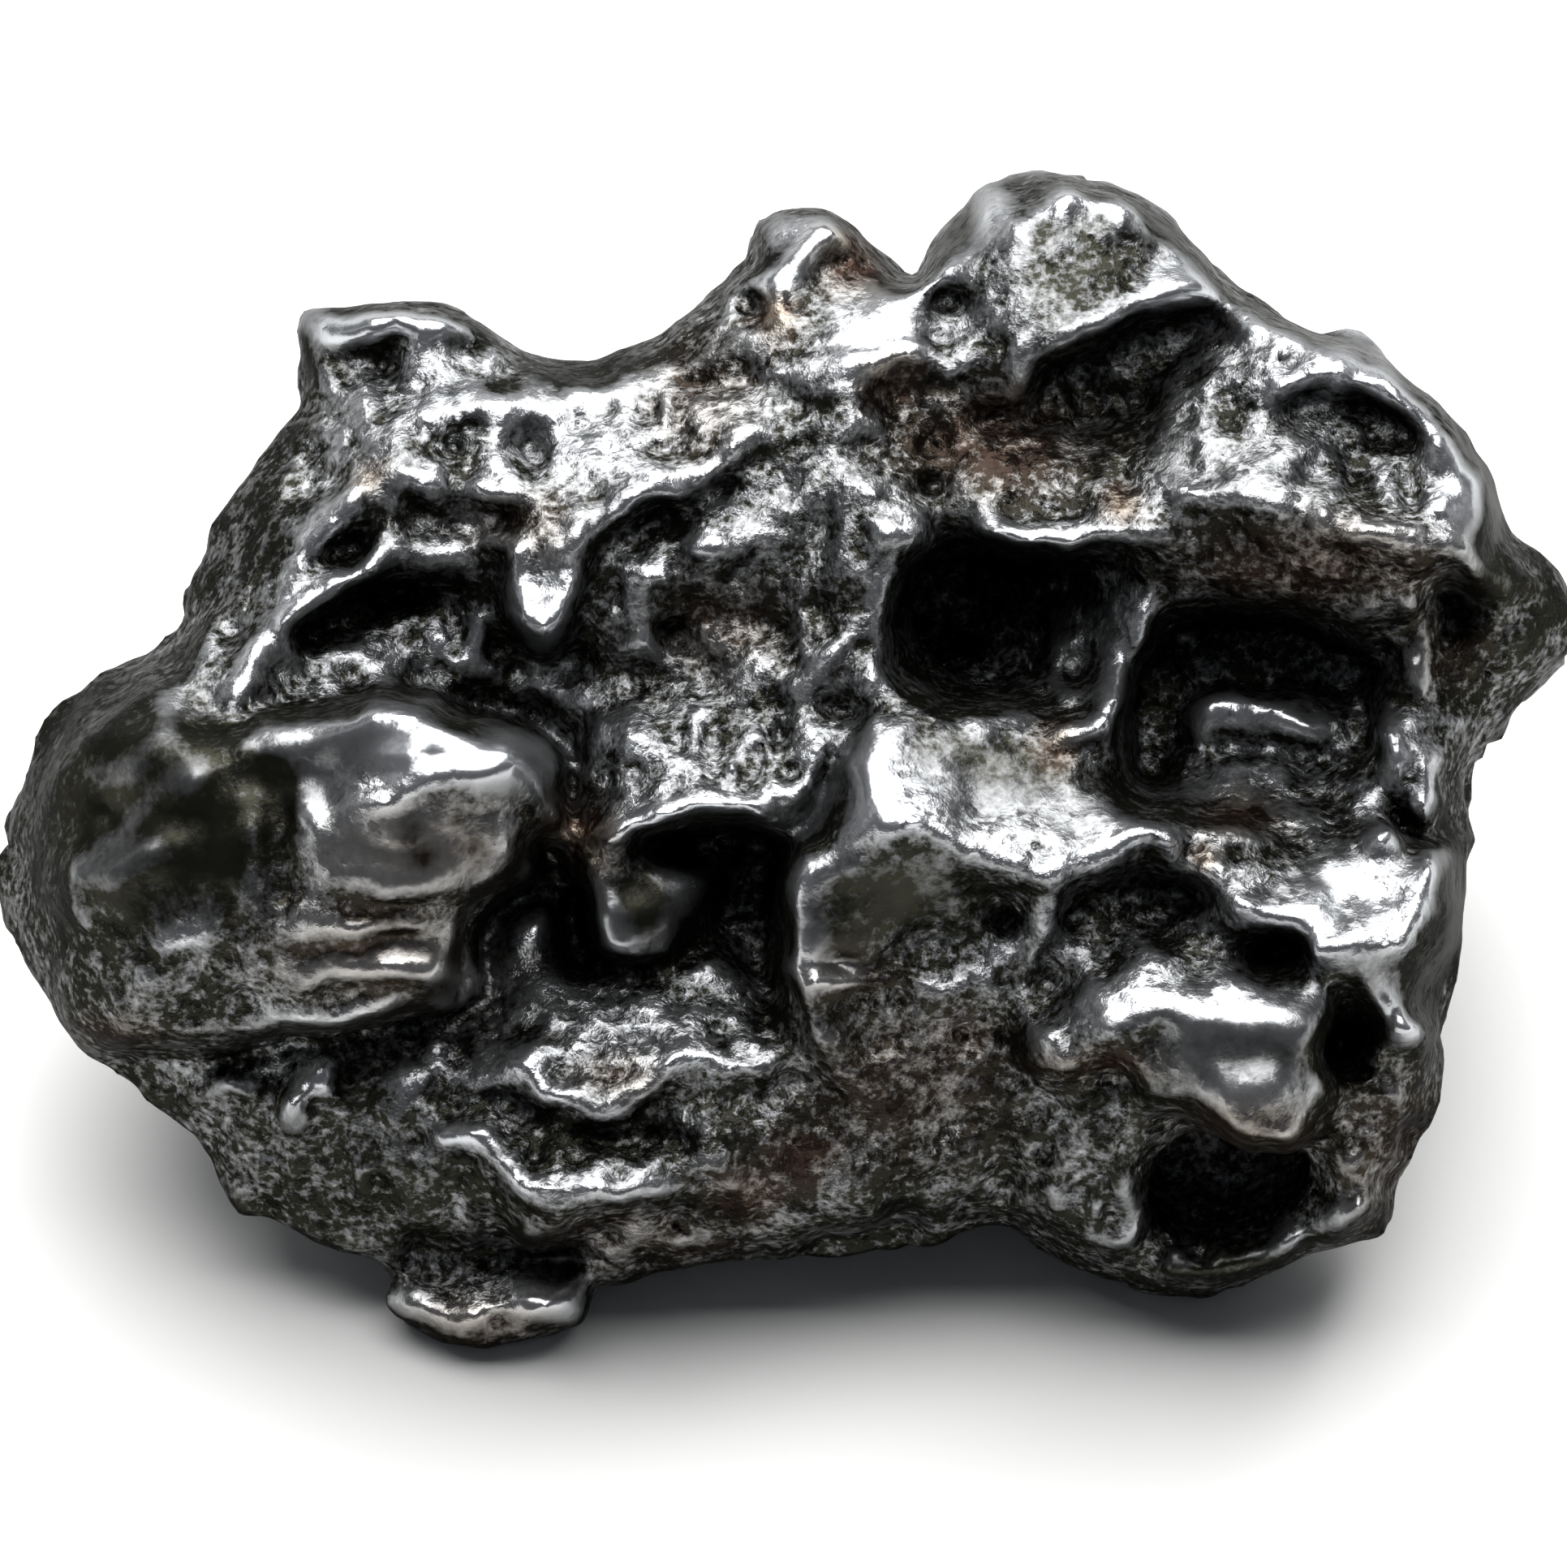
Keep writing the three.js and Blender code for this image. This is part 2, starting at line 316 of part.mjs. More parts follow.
    [[6, 3.5, -0.3], [6.5, 3.3, 0.1]],
    [[7, 4.2, 0.6], [7.2, 3.2, 1.4], [7.4, 2.7, 2]],
    [[8.2, 5.2, 2.6], [8, 4.3, 2.2], [8.2, 3.3, 2.6]],
    [[9.2, 5, 3.6], [9, 4.2, 3.4], [8.7, 3.3, 3]],
    [[6.05, 1.35, 4.6], [7, 1.45, 4.8], [7.8, 1.45, 5], [8.05, 1.9, 5], [8.2, 2.45, 4.8]],
    [[6.7, 1.7, 3.6], [7.3, 2.2, 3.2], [7.7, 1.9, 3.9]],
  ],
  ledgeOverAndRecess: [
    [
      [4.5, 6.45, 4.3], [4.8, 6.1, 4.6], [5.5, 6, 4.7], [6.2, 5.85, 4.7], [7, 6, 4.7], [8, 6.1, 4.9],
      [9.3, 6, 5],
    ],
    [[4.4, 5.6, 0.4], [5.4, 5.5, -0.4], [6.6, 5.5, 0.4], [7.8, 5.6, 2.4], [8.6, 5.6, 3.6]],
    [[5.1, 6.7, 3.9], [6.2, 6.55, 3.8], [7.3, 6.8, 4]],
    [[4.4, 7.2, 3.9], [5.8, 7.2, 3.9], [7.2, 7.3, 3.9], [8.4, 7.2, 4.2]],
    [[3.8, 6.7, 3.4], [3.6, 7.6, 3.2], [3.4, 8.6, 2.9]],
    [[4.2, 8.8, 2.8], [5.4, 9, 2.4], [6.3, 8.6, 2.4]],
    [[5, 7.9, 3.6], [6.4, 7.9, 3.5]],
    [[7.2, 8.7, 1.6], [7.7, 9.4, 0.7], [8.7, 9.4, 0.8]],
    [[8.9, 8.6, 2.2], [8.6, 7.9, 3.2]],
    [[9.2, 10.3, 1.1], [10, 10.9, 1]],
    [
      [5.9, 9.9, 3.5], [6.3, 10.7, 3.7], [7.2, 11.05, 3.7], [7.9, 11.2, 3.5], [8.4, 11.65, 3.2],
      [9, 11.75, 3.1], [9.8, 11.95, 2.8], [10.8, 12, 2.1],
    ],
    [
      [6.5, 9.9, 1.7], [6.9, 10.5, 1.4], [7.8, 10.7, 1.1], [8.8, 11.2, 1], [9.8, 11.5, 1.1],
      [10.7, 11.5, 1],
    ],
  ],
  topFacet: [
    [
      [6.1, 10.8, 3.7], [5.8, 11.6, 3.4], [5.5, 12.6, 3], [5.5, 13.6, 2.6], [6.2, 14.2, 2.3], [7, 14.6, 2],
      [8.1, 14.5, 1.9], [9, 14.2, 1.6],
    ],
    [[8.5, 12.1, 2.9], [8.8, 13, 2.5], [9, 13.9, 1.9]],
    [[7, 12.4, 3.1], [7.2, 13.4, 2.7]],
    [[4.2, 13.1, 1.1], [4.6, 14, 0.8], [5.2, 14.5, 0.9]],
    [[4.9, 13, 2.2], [5, 12, 2.8]],
    [[9.1, 12.3, 3.1], [9.9, 12.25, 2.9], [10.6, 12.2, 2.4]],
    [[9.2, 13, 2.4], [10, 13, 1.9], [10.5, 12.9, 1.2]],
    [[9.5, 13.7, 1.5], [10, 13.5, 1.2]],
  ],
  pocketAndWhiteRidge: [
    [[3.3, 12.1, 2.5], [3.7, 12.35, 2.4], [4.2, 12.45, 2.3], [4.7, 12.2, 2.5], [5, 11.4, 2.9]],
    [[3.7, 11.9, 1.6], [4.2, 12, 1.5], [4.6, 11.8, 1.8]],
    [[3.4, 11.2, 2.3], [4, 10.9, 2.7], [4.6, 10.7, 3], [5.3, 10.4, 3.1]],
    [[3.8, 12.9, 1.5], [4.4, 12.9, 1.6]],
    [[1.4, 9.7, 3.8], [1.5, 10.3, 3.7], [2.2, 10.4, 3.6], [3.2, 10.5, 3.4], [4.1, 10.4, 3.3]],
    [[1.6, 11.1, 2.8], [2.3, 11.8, 2.3], [3, 12.1, 2.2]],
    [[2.4, 9.9, 2.9], [2.7, 9.3, 2.5], [3.4, 9.9, 2.6]],
    [[1.6, 9.2, 3.8], [1.9, 8.3, 3.8], [2.4, 7.8, 3.8]],
    [[0.5, 9.8, 3.1], [0.6, 8.8, 3.4], [1.2, 8.1, 3.8]],
    [[2.1, 7.1, 4.7], [2.3, 6.4, 4.6], [2.4, 5.8, 4.9], [3.3, 6.3, 4.5]],
  ],
  secondNub: [
    [[-0.6, 12.3, 1.6], [0, 12.6, 1.8], [0.6, 13, 1.7], [0.9, 13.5, 1.4], [1.1, 14.1, 0.6]],
    [[-0.3, 13.3, 0.6], [0.3, 13.9, 0.2]],
    [[0.6, 12.3, 1.2], [1.2, 12.7, 1], [1.5, 13.3, 0.7]],
    [[2, 12.4, 0.6], [2.1, 13.1, 0]],
    [[-0.7, 11.3, 1.9], [0.3, 11.2, 2.2], [1.2, 11.1, 2.6]],
    [[0.6, 11.9, 1.6], [1.6, 11.8, 1.6]],
    [[-1.5, 11.3, 1], [-2.2, 10.6, 1.2], [-3, 10.1, 1.4], [-4, 9.9, 1.6], [-5.2, 9.8, 1.8]],
    [[-1.6, 9.8, 2.2], [-0.7, 9.9, 2.4]],
  ],
  saddleSlopeAndMiddle: [
    [[-5, 8, 3.2], [-4, 8.3, 3], [-3, 8.8, 2.7]],
    [
      [-6.6, 5.7, 4.6], [-5.5, 5.6, 4.8], [-4.8, 5.9, 4.8], [-4.2, 6.4, 4.7], [-3.6, 6.9, 4.6],
      [-3, 7.4, 4.4], [-2.4, 7.5, 4.3], [-1.8, 7.7, 4.2], [-1.2, 8.1, 4], [-0.6, 8.5, 3.8],
      [-0.2, 8.8, 3.5],
    ],
    [
      [-4.5, 5.4, 3.4], [-3.9, 5.9, 3.1], [-3.3, 6.5, 2.9], [-2.6, 6.9, 3.1], [-1.6, 7.3, 3.3],
      [-0.8, 7.8, 3.3], [-0.1, 8.2, 3.2],
    ],
    [
      [-6.5, 5.2, 4.6], [-6.45, 4.3, 4.8], [-6.3, 3.7, 4.8], [-6, 3.45, 4.7], [-5.6, 3.9, 4.9],
      [-5.3, 4.4, 4.9], [-5.15, 5, 4.8],
    ],
    [[-5.9, 4.7, 4.3], [-6, 4.2, 4.4]],
    [
      [-7.1, 5, 2.7], [-6.95, 4, 2.2], [-6.6, 3.2, 1.6], [-5.9, 2.85, 1.5], [-5.1, 3.4, 2],
      [-4.8, 4.3, 2.7], [-4.75, 5, 3.1],
    ],
  ],
  roughMiddle: [
    [[-3.8, 5.2, 3.5], [-3, 5, 3.9]],
    [[-4.4, 3.6, 2.8], [-3.4, 3.5, 3.2]],
    [[-4.4, 2.4, 2.2], [-3, 2.7, 2.4], [-1.8, 2.8, 2.6]],
    [[-3, 4.1, 2.8], [-1.6, 4.1, 2.9], [-0.5, 4, 3]],
    [[-2.3, 5.6, 4], [-1.5, 5.9, 4], [-0.4, 6.3, 4]],
    [[-1.2, 5.2, 3.2], [0.2, 5.3, 3.4], [0.7, 6.1, 3.6]],
    [[0.3, 2.3, 4.2], [0.8, 2.7, 4.6], [1.1, 3.2, 4.8], [1.3, 3.6, 4.6]],
    [[1.3, 2.4, 4], [1.7, 3.4, 4.3]],
    [[0.2, 3.4, 3.4], [0.6, 4.3, 3.6], [1.4, 4.9, 4.2], [1.6, 5.8, 4.4]],
    [[-0.2, 7.2, 3.6], [0.8, 7.1, 3.9], [1.4, 6.6, 4.2]],
  ],
  centralShelf: [
    [
      [-4.2, -1.6, 5], [-3.8, -1.2, 5.2], [-3.3, -1, 5.3], [-2.6, -0.8, 5.4], [-2, -0.75, 5.4],
      [-1.4, -0.65, 5.4], [-0.8, -0.75, 5.4], [-0.2, -0.95, 5.3], [0.1, -0.9, 5.3], [0.4, -0.4, 5.3],
      [0.7, 0.2, 5.3], [1, 0.8, 5.2], [1.1, 1.5, 4.9],
    ],
    [[-3.9, 1.2, 3.9], [-2.6, 1.6, 3.7], [-1.2, 1.9, 3.5], [-0.1, 1.8, 3.7]],
    [[-3.8, 0.2, 4.5], [-2.4, 0.4, 4.5], [-1, 0.5, 4.5], [0.2, 0.5, 4.6]],
    [[-5.6, 1.4, 1.8], [-5, 0.9, 2.6], [-4.6, 0.2, 3.4], [-4.4, -0.6, 3.8]],
    [[-5.2, -1.2, 3.8], [-4.8, -1.3, 3.9]],
    [[-3.4, -1.45, 2.3], [-2.2, -1.3, 1.2], [-1.2, -1.3, 0.6], [-0.4, -1.4, 0.5]],
    [
      [-4.75, -2.35, 4], [-4.5, -3.5, 3.7], [-4.2, -4.1, 3.3], [-3.4, -4, 3.3], [-2.8, -3.5, 3.3],
      [-2.3, -2.7, 3.3], [-3.2, -2, 3.2], [-4.1, -1.9, 3.9],
    ],
    [[-5.2, -2.5, 0.2], [-5.1, -3.4, -0.5], [-4.8, -4.3, -0.3], [-4.2, -4.6, 0.9]],
    [[-1.9, -2.3, 0.5], [-1.3, -3, 0.4], [-1.3, -4, 1.2]],
    [[-6.4, -3.3, 1.5], [-6, -3.2, 1.5], [-5.9, -4.2, 1.3]],
    [[-2.2, -3.6, 1.4], [-3, -4.4, 1.5]],
  ],
  rightMass: [
    [
      [11.2, 11.9, 2.1], [12.2, 11.45, 2.7], [13, 11, 3.1], [14, 10.75, 3.2], [14.8, 10.4, 3.4],
      [15.6, 9.8, 3.8], [16.2, 9.2, 4.1], [16.5, 8.5, 4.5], [17, 7.8, 4.7], [17.3, 7.2, 4.6],
    ],
    [
      [12, 9.5, 4.5], [12.6, 9.8, 4.4], [13.5, 9.9, 4.4], [14.6, 9.8, 4.5], [15.3, 9.4, 4.8],
      [15.8, 8.8, 5.1], [16, 8.2, 5.3],
    ],
    [[12.2, 9.15, 3.4], [13.2, 9.4, 3], [14.3, 9.3, 2.9], [15.1, 8.9, 3.2], [15.5, 8.3, 3.6]],
    [[12.3, 8.6, 4], [13.4, 8.3, 3.8], [14.2, 8.2, 3.8]],
    [[14.3, 8, 4.1], [14.6, 7.6, 4.7], [14.7, 7, 5.3], [15, 6.6, 5.7]],
    [[13.9, 7.9, 3.7], [14.1, 7.2, 4.6], [14.3, 6.8, 5.2]],
    [[15.2, 7.8, 4.2], [15.5, 7, 5.1]],
    [[9.5, 8.9, 3.2], [9.6, 8.1, 4], [9.6, 7.6, 4.6]],
    [[10.5, 9.6, 3.4], [10.4, 8.6, 4.3], [10.5, 7.7, 5]],
    [[10.4, 10.4, 2.4], [11.2, 10.6, 2.9], [11.8, 10.2, 3.7]],
    [[11.4, 9, 4], [11.6, 8.2, 4.7], [12.4, 7.6, 5.4]],
    [
      [9.3, 7.35, 4.9], [10, 7.25, 5.4], [11, 7.05, 5.9], [12, 6.85, 6.1], [12.8, 6.7, 6.2],
      [13.3, 6.3, 6.5], [14, 6.1, 6.7], [15, 5.9, 6.7], [15.5, 6.1, 6.5], [16, 6.3, 6.3], [16.5, 5.7, 6],
      [17.1, 5.1, 5.4],
    ],
    [[16.1, 6.9, 5.9], [16.5, 7.4, 5.4]],
    [[17.2, 6.3, 5.2], [17.6, 6.7, 4.4]],
    [
      [9.6, 6.6, 4.9], [11, 6.2, 5.1], [12.6, 5.8, 5.4], [14, 5.4, 5.5], [15.3, 5.2, 5.4],
      [16.1, 5.1, 5.3],
    ],
    [[9.7, 5.4, 4.4], [11.4, 5.4, 4.6], [13.2, 4.8, 4.6], [14.4, 4.4, 4.6], [15.5, 4.3, 4.8]],
    [[9.4, 4.5, 3.7], [10.5, 4.8, 3.7], [12, 4.6, 3.6], [13.4, 4.1, 3.6], [14.3, 3.8, 3.5]],
  ],
  secondCavity: [
    [[8.4, 2.9, 3], [8.3, 2, 3.8], [8.2, 1, 3.5], [8.3, 0.2, 3.4], [8.6, -0.5, 4.2]],
    [[8.9, 2.8, -0.4], [8.9, 1.8, -1.4], [9, 0.8, -1.2], [9.2, 0, 0.6]],
    [[9.7, 3.7, -0.8], [10.8, 3.7, -1], [12.4, 3.5, -1], [13.8, 3.2, -0.8], [14.6, 2.9, -0.2]],
    [[9.6, 2.4, -1.8], [10.8, 2.8, -1.2], [12.4, 2.6, -0.6], [14, 2.3, 0]],
    [[10.1, 1.5, 0.9], [10.7, 2, 1.3], [11.8, 1.95, 1.5], [12.6, 1.6, 1.7], [13.2, 1.35, 1.7]],
    [[10.8, 1, 0.5], [11.6, 0.9, 0.1], [12.6, 0.8, -0.1], [13.7, 0.7, 0]],
    [[9.8, 0.4, 1.2], [10.8, 0.3, 1.9], [12, -0.1, 2.4], [13.2, -0.4, 2.8], [14.2, -0.6, 3]],
    [[10.4, -0.6, 3.2], [12, -0.9, 3.8], [13.6, -1.1, 4.2]],
    [[14.3, 1.8, 0.6], [14.4, 0.6, 1.6]],
    [
      [14.85, 2, 2.8], [14.75, 1, 3.3], [14.9, 0.6, 3.6], [15.3, 0, 3.6], [15.7, -0.6, 3.6],
      [15.9, -0.85, 3.5],
    ],
    [[15.6, 1.3, 3], [16.2, 0.4, 2.9]],
    [[15, -0.9, 1.6], [15.7, -1.25, 1.6], [16.4, -1.15, 1.4]],
    [[15.4, 3.8, 3.2], [15.6, 3.1, 3.1], [15.85, 2.5, 2.9]],
    [[16, 4.6, 1.4], [16.6, 4.6, 1.2], [16.9, 4, 1.4]],
    [[16.4, 3.2, 1.8], [17.1, 3.5, 2], [17.6, 3.7, 1.8]],
    [[16.8, 2.2, 1.6], [17.5, 2.6, 0.9]],
    [[17.7, 4.6, 2.8], [18.2, 5.2, 2.4]],
    [[18.2, 3.6, 1.6], [18.6, 2.7, 1.2]],
    [[18.7, 4.6, 1.1], [18.2, 4.3, 1.4]],
  ],
};

// Hollows cut under the ledges: the two ends of each in u, v, w, then its radius.
const UNDERCUTS = [
  [[4, 4.6, -1.4], [5.2, 3.4, -0.8], 1.5], // deep cavity
  [[10, -9.2, 1], [11.6, -9, 1.4], 1.5], // bowl under the tongue
  [[-7, -3.1, 4], [-7.3, -4.8, 3.2], 0.8], // below the snout
];

// Thumb-print hollows of the unseen rear and underside, centre x, y, z in place, then radius.
const THUMBPRINTS = [
  [-9.5, 14.4, 9.6, 4.2], [-3.4, 14.2, 12.6, 3.6], [3.2, 16, 8.6, 5], [9.6, 15.8, 11.8, 4.4],
  [15.4, 13, 8.4, 4.2], [-14.8, 11, 7.4, 4.2], [-4.2, 13.8, 5, 4], [10.2, 13.6, 5.2, 4],
  [-20.2, 4.4, 5, 4.2], [20.6, 2.6, 4.6, 4.4], [18.6, 9, 13.4, 3.6], [-11, -0.6, -0.9, 3.4],
  [0.4, 1.6, -2.2, 4.6], [11.6, -1.4, -1.2, 3.8], [-18, -6.4, 2.4, 3.4], [19.4, -6, 3, 4],
  [1.8, -7.4, -2.4, 4],
];

// Underside, as x, y, height over the resting plane, reach. Where the height is below zero the
// lump is worn flat and lies on the plane.
const UNDERSIDE = [
  [-7.5, -9.4, -1.5, 1.7], [10, -8.6, -0.7, 2.1], [-7.4, 5.2, -0.4, 2.1], [6, 7, -0.4, 2.2],
  [1, -8, 0.7, 2.5], [-13, -4, 3, 3], [-17, -1, 5.6, 3], [16, -3, 4, 3], [0, -1, 1.7, 3],
  [5, 1, 1.3, 2.5], [-3.4, 2.6, 1.2, 2.5], [12, 3, 2.4, 2.5], [-13, 4, 3.2, 2.5],
  [-0.6, 9.4, 1.9, 2.5], [13, 8, 4.8, 3], [-13, 8.4, 5.6, 3], [-2, -4.4, 1.6, 2],
  [6.6, -3, 1.7, 2], [3, -6.4, 1.5, 2], [-12, -8, 1.2, 2], [14, -8, 1.4, 2],
];

// Steep rear side, as x, z, y, reach.
const REAR = [
  [-10, 14.5, 12.3, 2.5], [-5, 14, 11.3, 2.5], [0.5, 16.5, 14, 2], [6, 16.5, 15.4, 2.5],
  [13, 14.5, 12.6, 2.5], [16.5, 13.5, 10.2, 2], [-14.5, 11.5, 7.4, 2.5], [-18, 9.5, 3.8, 2.5],
  [18, 10.5, 6.6, 2.5], [-8, 8, 11.8, 3.5], [0, 9, 12.6, 3.5], [8, 9, 13.2, 3.5],
  [14, 7, 9.8, 3], [-13, 6, 8, 3], [-8, 3, 8.8, 2.5], [0, 3, 9.6, 3], [8, 3, 9.4, 2.5],
  [15, 3, 6.6, 2.5], [-16, 4, 4.2, 2.5],
];

const clamp01 = (x) => Math.min(1, Math.max(0, x));

// Rounded versions of the larger and the smaller of two numbers.
function softMax(a, b, rounding) {
  const t = Math.max(0, rounding - Math.abs(a - b));
  return Math.max(a, b) + (t * t) / (4 * rounding);
}

// A curve through the points, as short straight steps.
function curve(points, steps, closed) {
  const knots = points.map(([x, y]) => new THREE.Vector3(x, y, 0));
  const line = new THREE.CatmullRomCurve3(knots, closed, "catmullrom", 0.5);
  return line.getPoints(steps * points.length);
}

// Distance to the nearest place on a stepped line.
function distanceTo(line, u, v) {
  let best = Infinity;
  for (let i = 0; i + 1 < line.length; i++) {
    const [a, b] = [line[i], line[i + 1]];
    const [eu, ev] = [b.x - a.x, b.y - a.y];
    const [ru, rv] = [u - a.x, v - a.y];
    const t = clamp01((ru * eu + rv * ev) / (eu * eu + ev * ev + 1e-12));
    best = Math.min(best, Math.hypot(ru - t * eu, rv - t * ev));
  }
  return best;
}

// Weighted mean of spot values, where small reaches win over large ones.
function spotMean(spots, u, v, valueOf) {
  let total = 0;
  let sum = 0;
  for (const spot of spots) {
    const s = 0.62 * spot[3];
    const d2 = (u - spot[0]) ** 2 + (v - spot[1]) ** 2;
    const weight = (Math.exp(-d2 / (2 * s * s)) + 1e-5 / (1 + d2) ** 2) / (s * s);
    total += weight;
    sum += weight * valueOf(spot);
  }
  return sum / total;
}

const outline = curve(OUTLINE, 2, true);
const widest = WIDEST.map(([u, v, w, width]) => [u, v, w, 3.5, width]);
const edgeAt = (u, v) => spotMean(widest, u, v, (spot) => spot[2]);
const roundingAt = (u, v) => spotMean(widest, u, v, (spot) => spot[4]);

// A grid over the plane with the heights of the lines that cross it, and which spots they pin.
function pinLines(lines, step) {
  const [nu, nv] = ["u", "v"].map((k) => Math.ceil((SPAN[k][1] - SPAN[k][0]) / step) + 1);
  const total = new Float64Array(nu * nv);
  const count = new Float64Array(nu * nv);
  for (const line of lines) {
    for (let n = 0; n + 1 < line.length; n++) {
      const [a, b] = [line[n], line[n + 1]];
      const parts = Math.max(1, Math.ceil((2 * Math.hypot(b[0] - a[0], b[1] - a[1])) / step));
      for (let p = 0; p <= parts; p++) {
        const [u, v, w] = a.map((start, k) => start + ((b[k] - start) * p) / parts);
        const i = Math.round((u - SPAN.u[0]) / step);
        const j = Math.round((v - SPAN.v[0]) / step);
        total[i * nv + j] += w;
        count[i * nv + j] += 1;
      }
    }
  }
  return { nu, nv, step, heights: total.map((w, s) => (count[s] ? w / count[s] : 0)), pinned: count };
}

// Height of a grid between its spots.
function read({ nu, nv, step, heights }, u, v) {
  const x = Math.min(nu - 1.001, Math.max(0, (u - SPAN.u[0]) / step));
  const y = Math.min(nv - 1.001, Math.max(0, (v - SPAN.v[0]) / step));
  const [i, j] = [Math.floor(x), Math.floor(y)];
  const s = i * nv + j;
  const low = heights[s] + (heights[s + 1] - heights[s]) * (y - j);
  const high = heights[s + nv] + (heights[s + nv + 1] - heights[s + nv]) * (y - j);
  return low + (high - low) * (x - i);
}

// Each spot becomes the mean of the square round it.
function widen(grid) {
  const { nu, nv } = grid;
  const mean = (from, count, stride, others, next) => {
    const out = new Float64Array(from.length);
    for (let o = 0; o < others; o++)
      for (let i = 0; i < count; i++) {
        const low = Math.max(0, i - RELIEF_REACH);
        const high = Math.min(count - 1, i + RELIEF_REACH);
        for (let k = low; k <= high; k++) out[o * next + i * stride] += from[o * next + k * stride];
        out[o * next + i * stride] /= high - low + 1;
      }
    return out;
  };
  const along = mean(grid.heights, nv, 1, nu, nv);
  return { ...grid, heights: mean(along, nu, nv, nv, 1) };
}

// The face is a sheet stretched over the break lines and a line along the outline, first on a
// coarse grid and then on finer ones.
function stretchSheet() {
  const rim = outline.map(({ x, y }) => [x, y, edgeAt(x, y) + EDGE_RISE]);
  const lines = [rim, ...Object.values(BREAKS).flat()];
  let sheet = null;
  for (const coarseness of [8, 4, 2, 1]) {
    const next = pinLines(lines, SHEET_STEP * coarseness);
    const { nu, nv, step, heights, pinned } = next;
    for (let s = 0; s < nu * nv; s++) {
      const [i, j] = [Math.floor(s / nv), s % nv];
      if (!pinned[s]) heights[s] = sheet ? read(sheet, SPAN.u[0] + i * step, SPAN.v[0] + j * step) : 2;
    }
    for (let round = 0; round < SHEET_ROUNDS; round++) {
      for (let i = 1; i + 1 < nu; i++)
        for (let j = 1; j + 1 < nv; j++) {
          const s = i * nv + j;
          const around = heights[s - nv] + heights[s + nv] + heights[s - 1] + heights[s + 1];
          if (!pinned[s]) heights[s] = around / 4;
        }
    }
    sheet = next;
  }
  const wide = widen(widen(sheet));
  sheet.heights = sheet.heights.map((w, s) => w + RELIEF * (w - wide.heights[s]));
  return sheet;
}

const sheet = stretchSheet();

// Distance inside the outline, negative outside it.
function insideOutline(u, v) {
  let inside = false;
  for (let i = 0; i + 1 < outline.length; i++) {
    const [a, b] = [outline[i], outline[i + 1]];
    const crosses = a.y > v !== b.y > v;
    if (crosses && u < a.x + ((b.x - a.x) * (v - a.y)) / (b.y - a.y)) inside = !inside;
  }
  const distance = distanceTo(outline, u, v);
  return inside ? distance : -distance;
}

// From the sloping plane to its place, and back.
const place = (u, v, w) => [
  u,
  v * Math.sin(FACE_SLOPE) - w * Math.cos(FACE_SLOPE),
  v * Math.cos(FACE_SLOPE) + w * Math.sin(FACE_SLOPE) + REST_HEIGHT,
];

function capsule(p, [a, b, radius]) {
  const [dx, dy, dz] = [b[0] - a[0], b[1] - a[1], b[2] - a[2]];
  const [px, py, pz] = [p[0] - a[0], p[1] - a[1], p[2] - a[2]];
  const t = clamp01((px * dx + py * dy + pz * dz) / (dx * dx + dy * dy + dz * dz));
  return Math.hypot(px - t * dx, py - t * dy, pz - t * dz) - radius;
}

// What one column of the lattice needs to know: the face averaged over the column, its slope,
// the widest line there and the distance to the outline.
function column(u, v) {
  const edge = edgeAt(u, v);
  const reach = CELL / 2.6;
  const shifts = [-reach, 0, reach];
  const heights = shifts.map((du) => shifts.map((dv) => read(sheet, u + du, v + dv)));
  const mean = heights.flat().reduce((a, b) => a + b) / 9;
  const slopeU = (heights[2][1] - heights[0][1]) / (2 * reach);
  const slopeV = (heights[1][2] - heights[1][0]) / (2 * reach);
  return {
    edge,
    rounding: roundingAt(u, v),
    front: Math.max(mean - edge, LEAST_FRONT),
    steepness: Math.hypot(1, slopeU, slopeV),
    inside: insideOutline(u, v),
  };
}

// Below zero inside the metal, above zero outside, roughly in millimetres.
function solid(u, v, w, { edge, rounding, front, steepness, inside }) {
  const behind = edge - w;
  let f = BACK_TAPER * behind * behind - inside - OUTSET;
  if (behind < 0) {
    const side = Math.max(0, (rounding - inside) / rounding);
    f = ((Math.hypot(behind / front, side) - 1) * Math.min(front, 3)) / steepness - OUTSET;
  }
  const [x, y, z] = place(u, v, w);
  const level = (spot) => spot[2];
  f = softMax(f, spotMean(UNDERSIDE, x, y, level) - z, REAR_BLEND);
  f = softMax(f, y - spotMean(REAR, x, z, level), REAR_BLEND);
  for (const cut of UNDERCUTS) f = softMax(f, -capsule([u, v, w], cut), CUT_BLEND);
  for (const [cx, cy, cz, r] of THUMBPRINTS)
    f = softMax(f, r - Math.hypot(x - cx, y - cy, z - cz), CUT_BLEND);
  return Math.min(Math.max(f, -SKIN), SKIN);
}

// The lattice of samples over the whole lump.
function sampleLattice() {
  const counts = ["u", "v", "w"].map((k) => Math.round((SPAN[k][1] - SPAN[k][0]) / CELL) + 1);
  const [nu, nv, nw] = counts;
  const values = new Float64Array(nu * nv * nw);
  for (let i = 0; i < nu; i++) {
    for (let j = 0; j < nv; j++) {
      const [u, v] = [SPAN.u[0] + i * CELL, SPAN.v[0] + j * CELL];
      const at = column(u, v);
      for (let k = 0; k < nw; k++) {
        values[(i * nv + j) * nw + k] = solid(u, v, SPAN.w[0] + k * CELL, at);
      }
    }
  }
  return { counts, values };
}

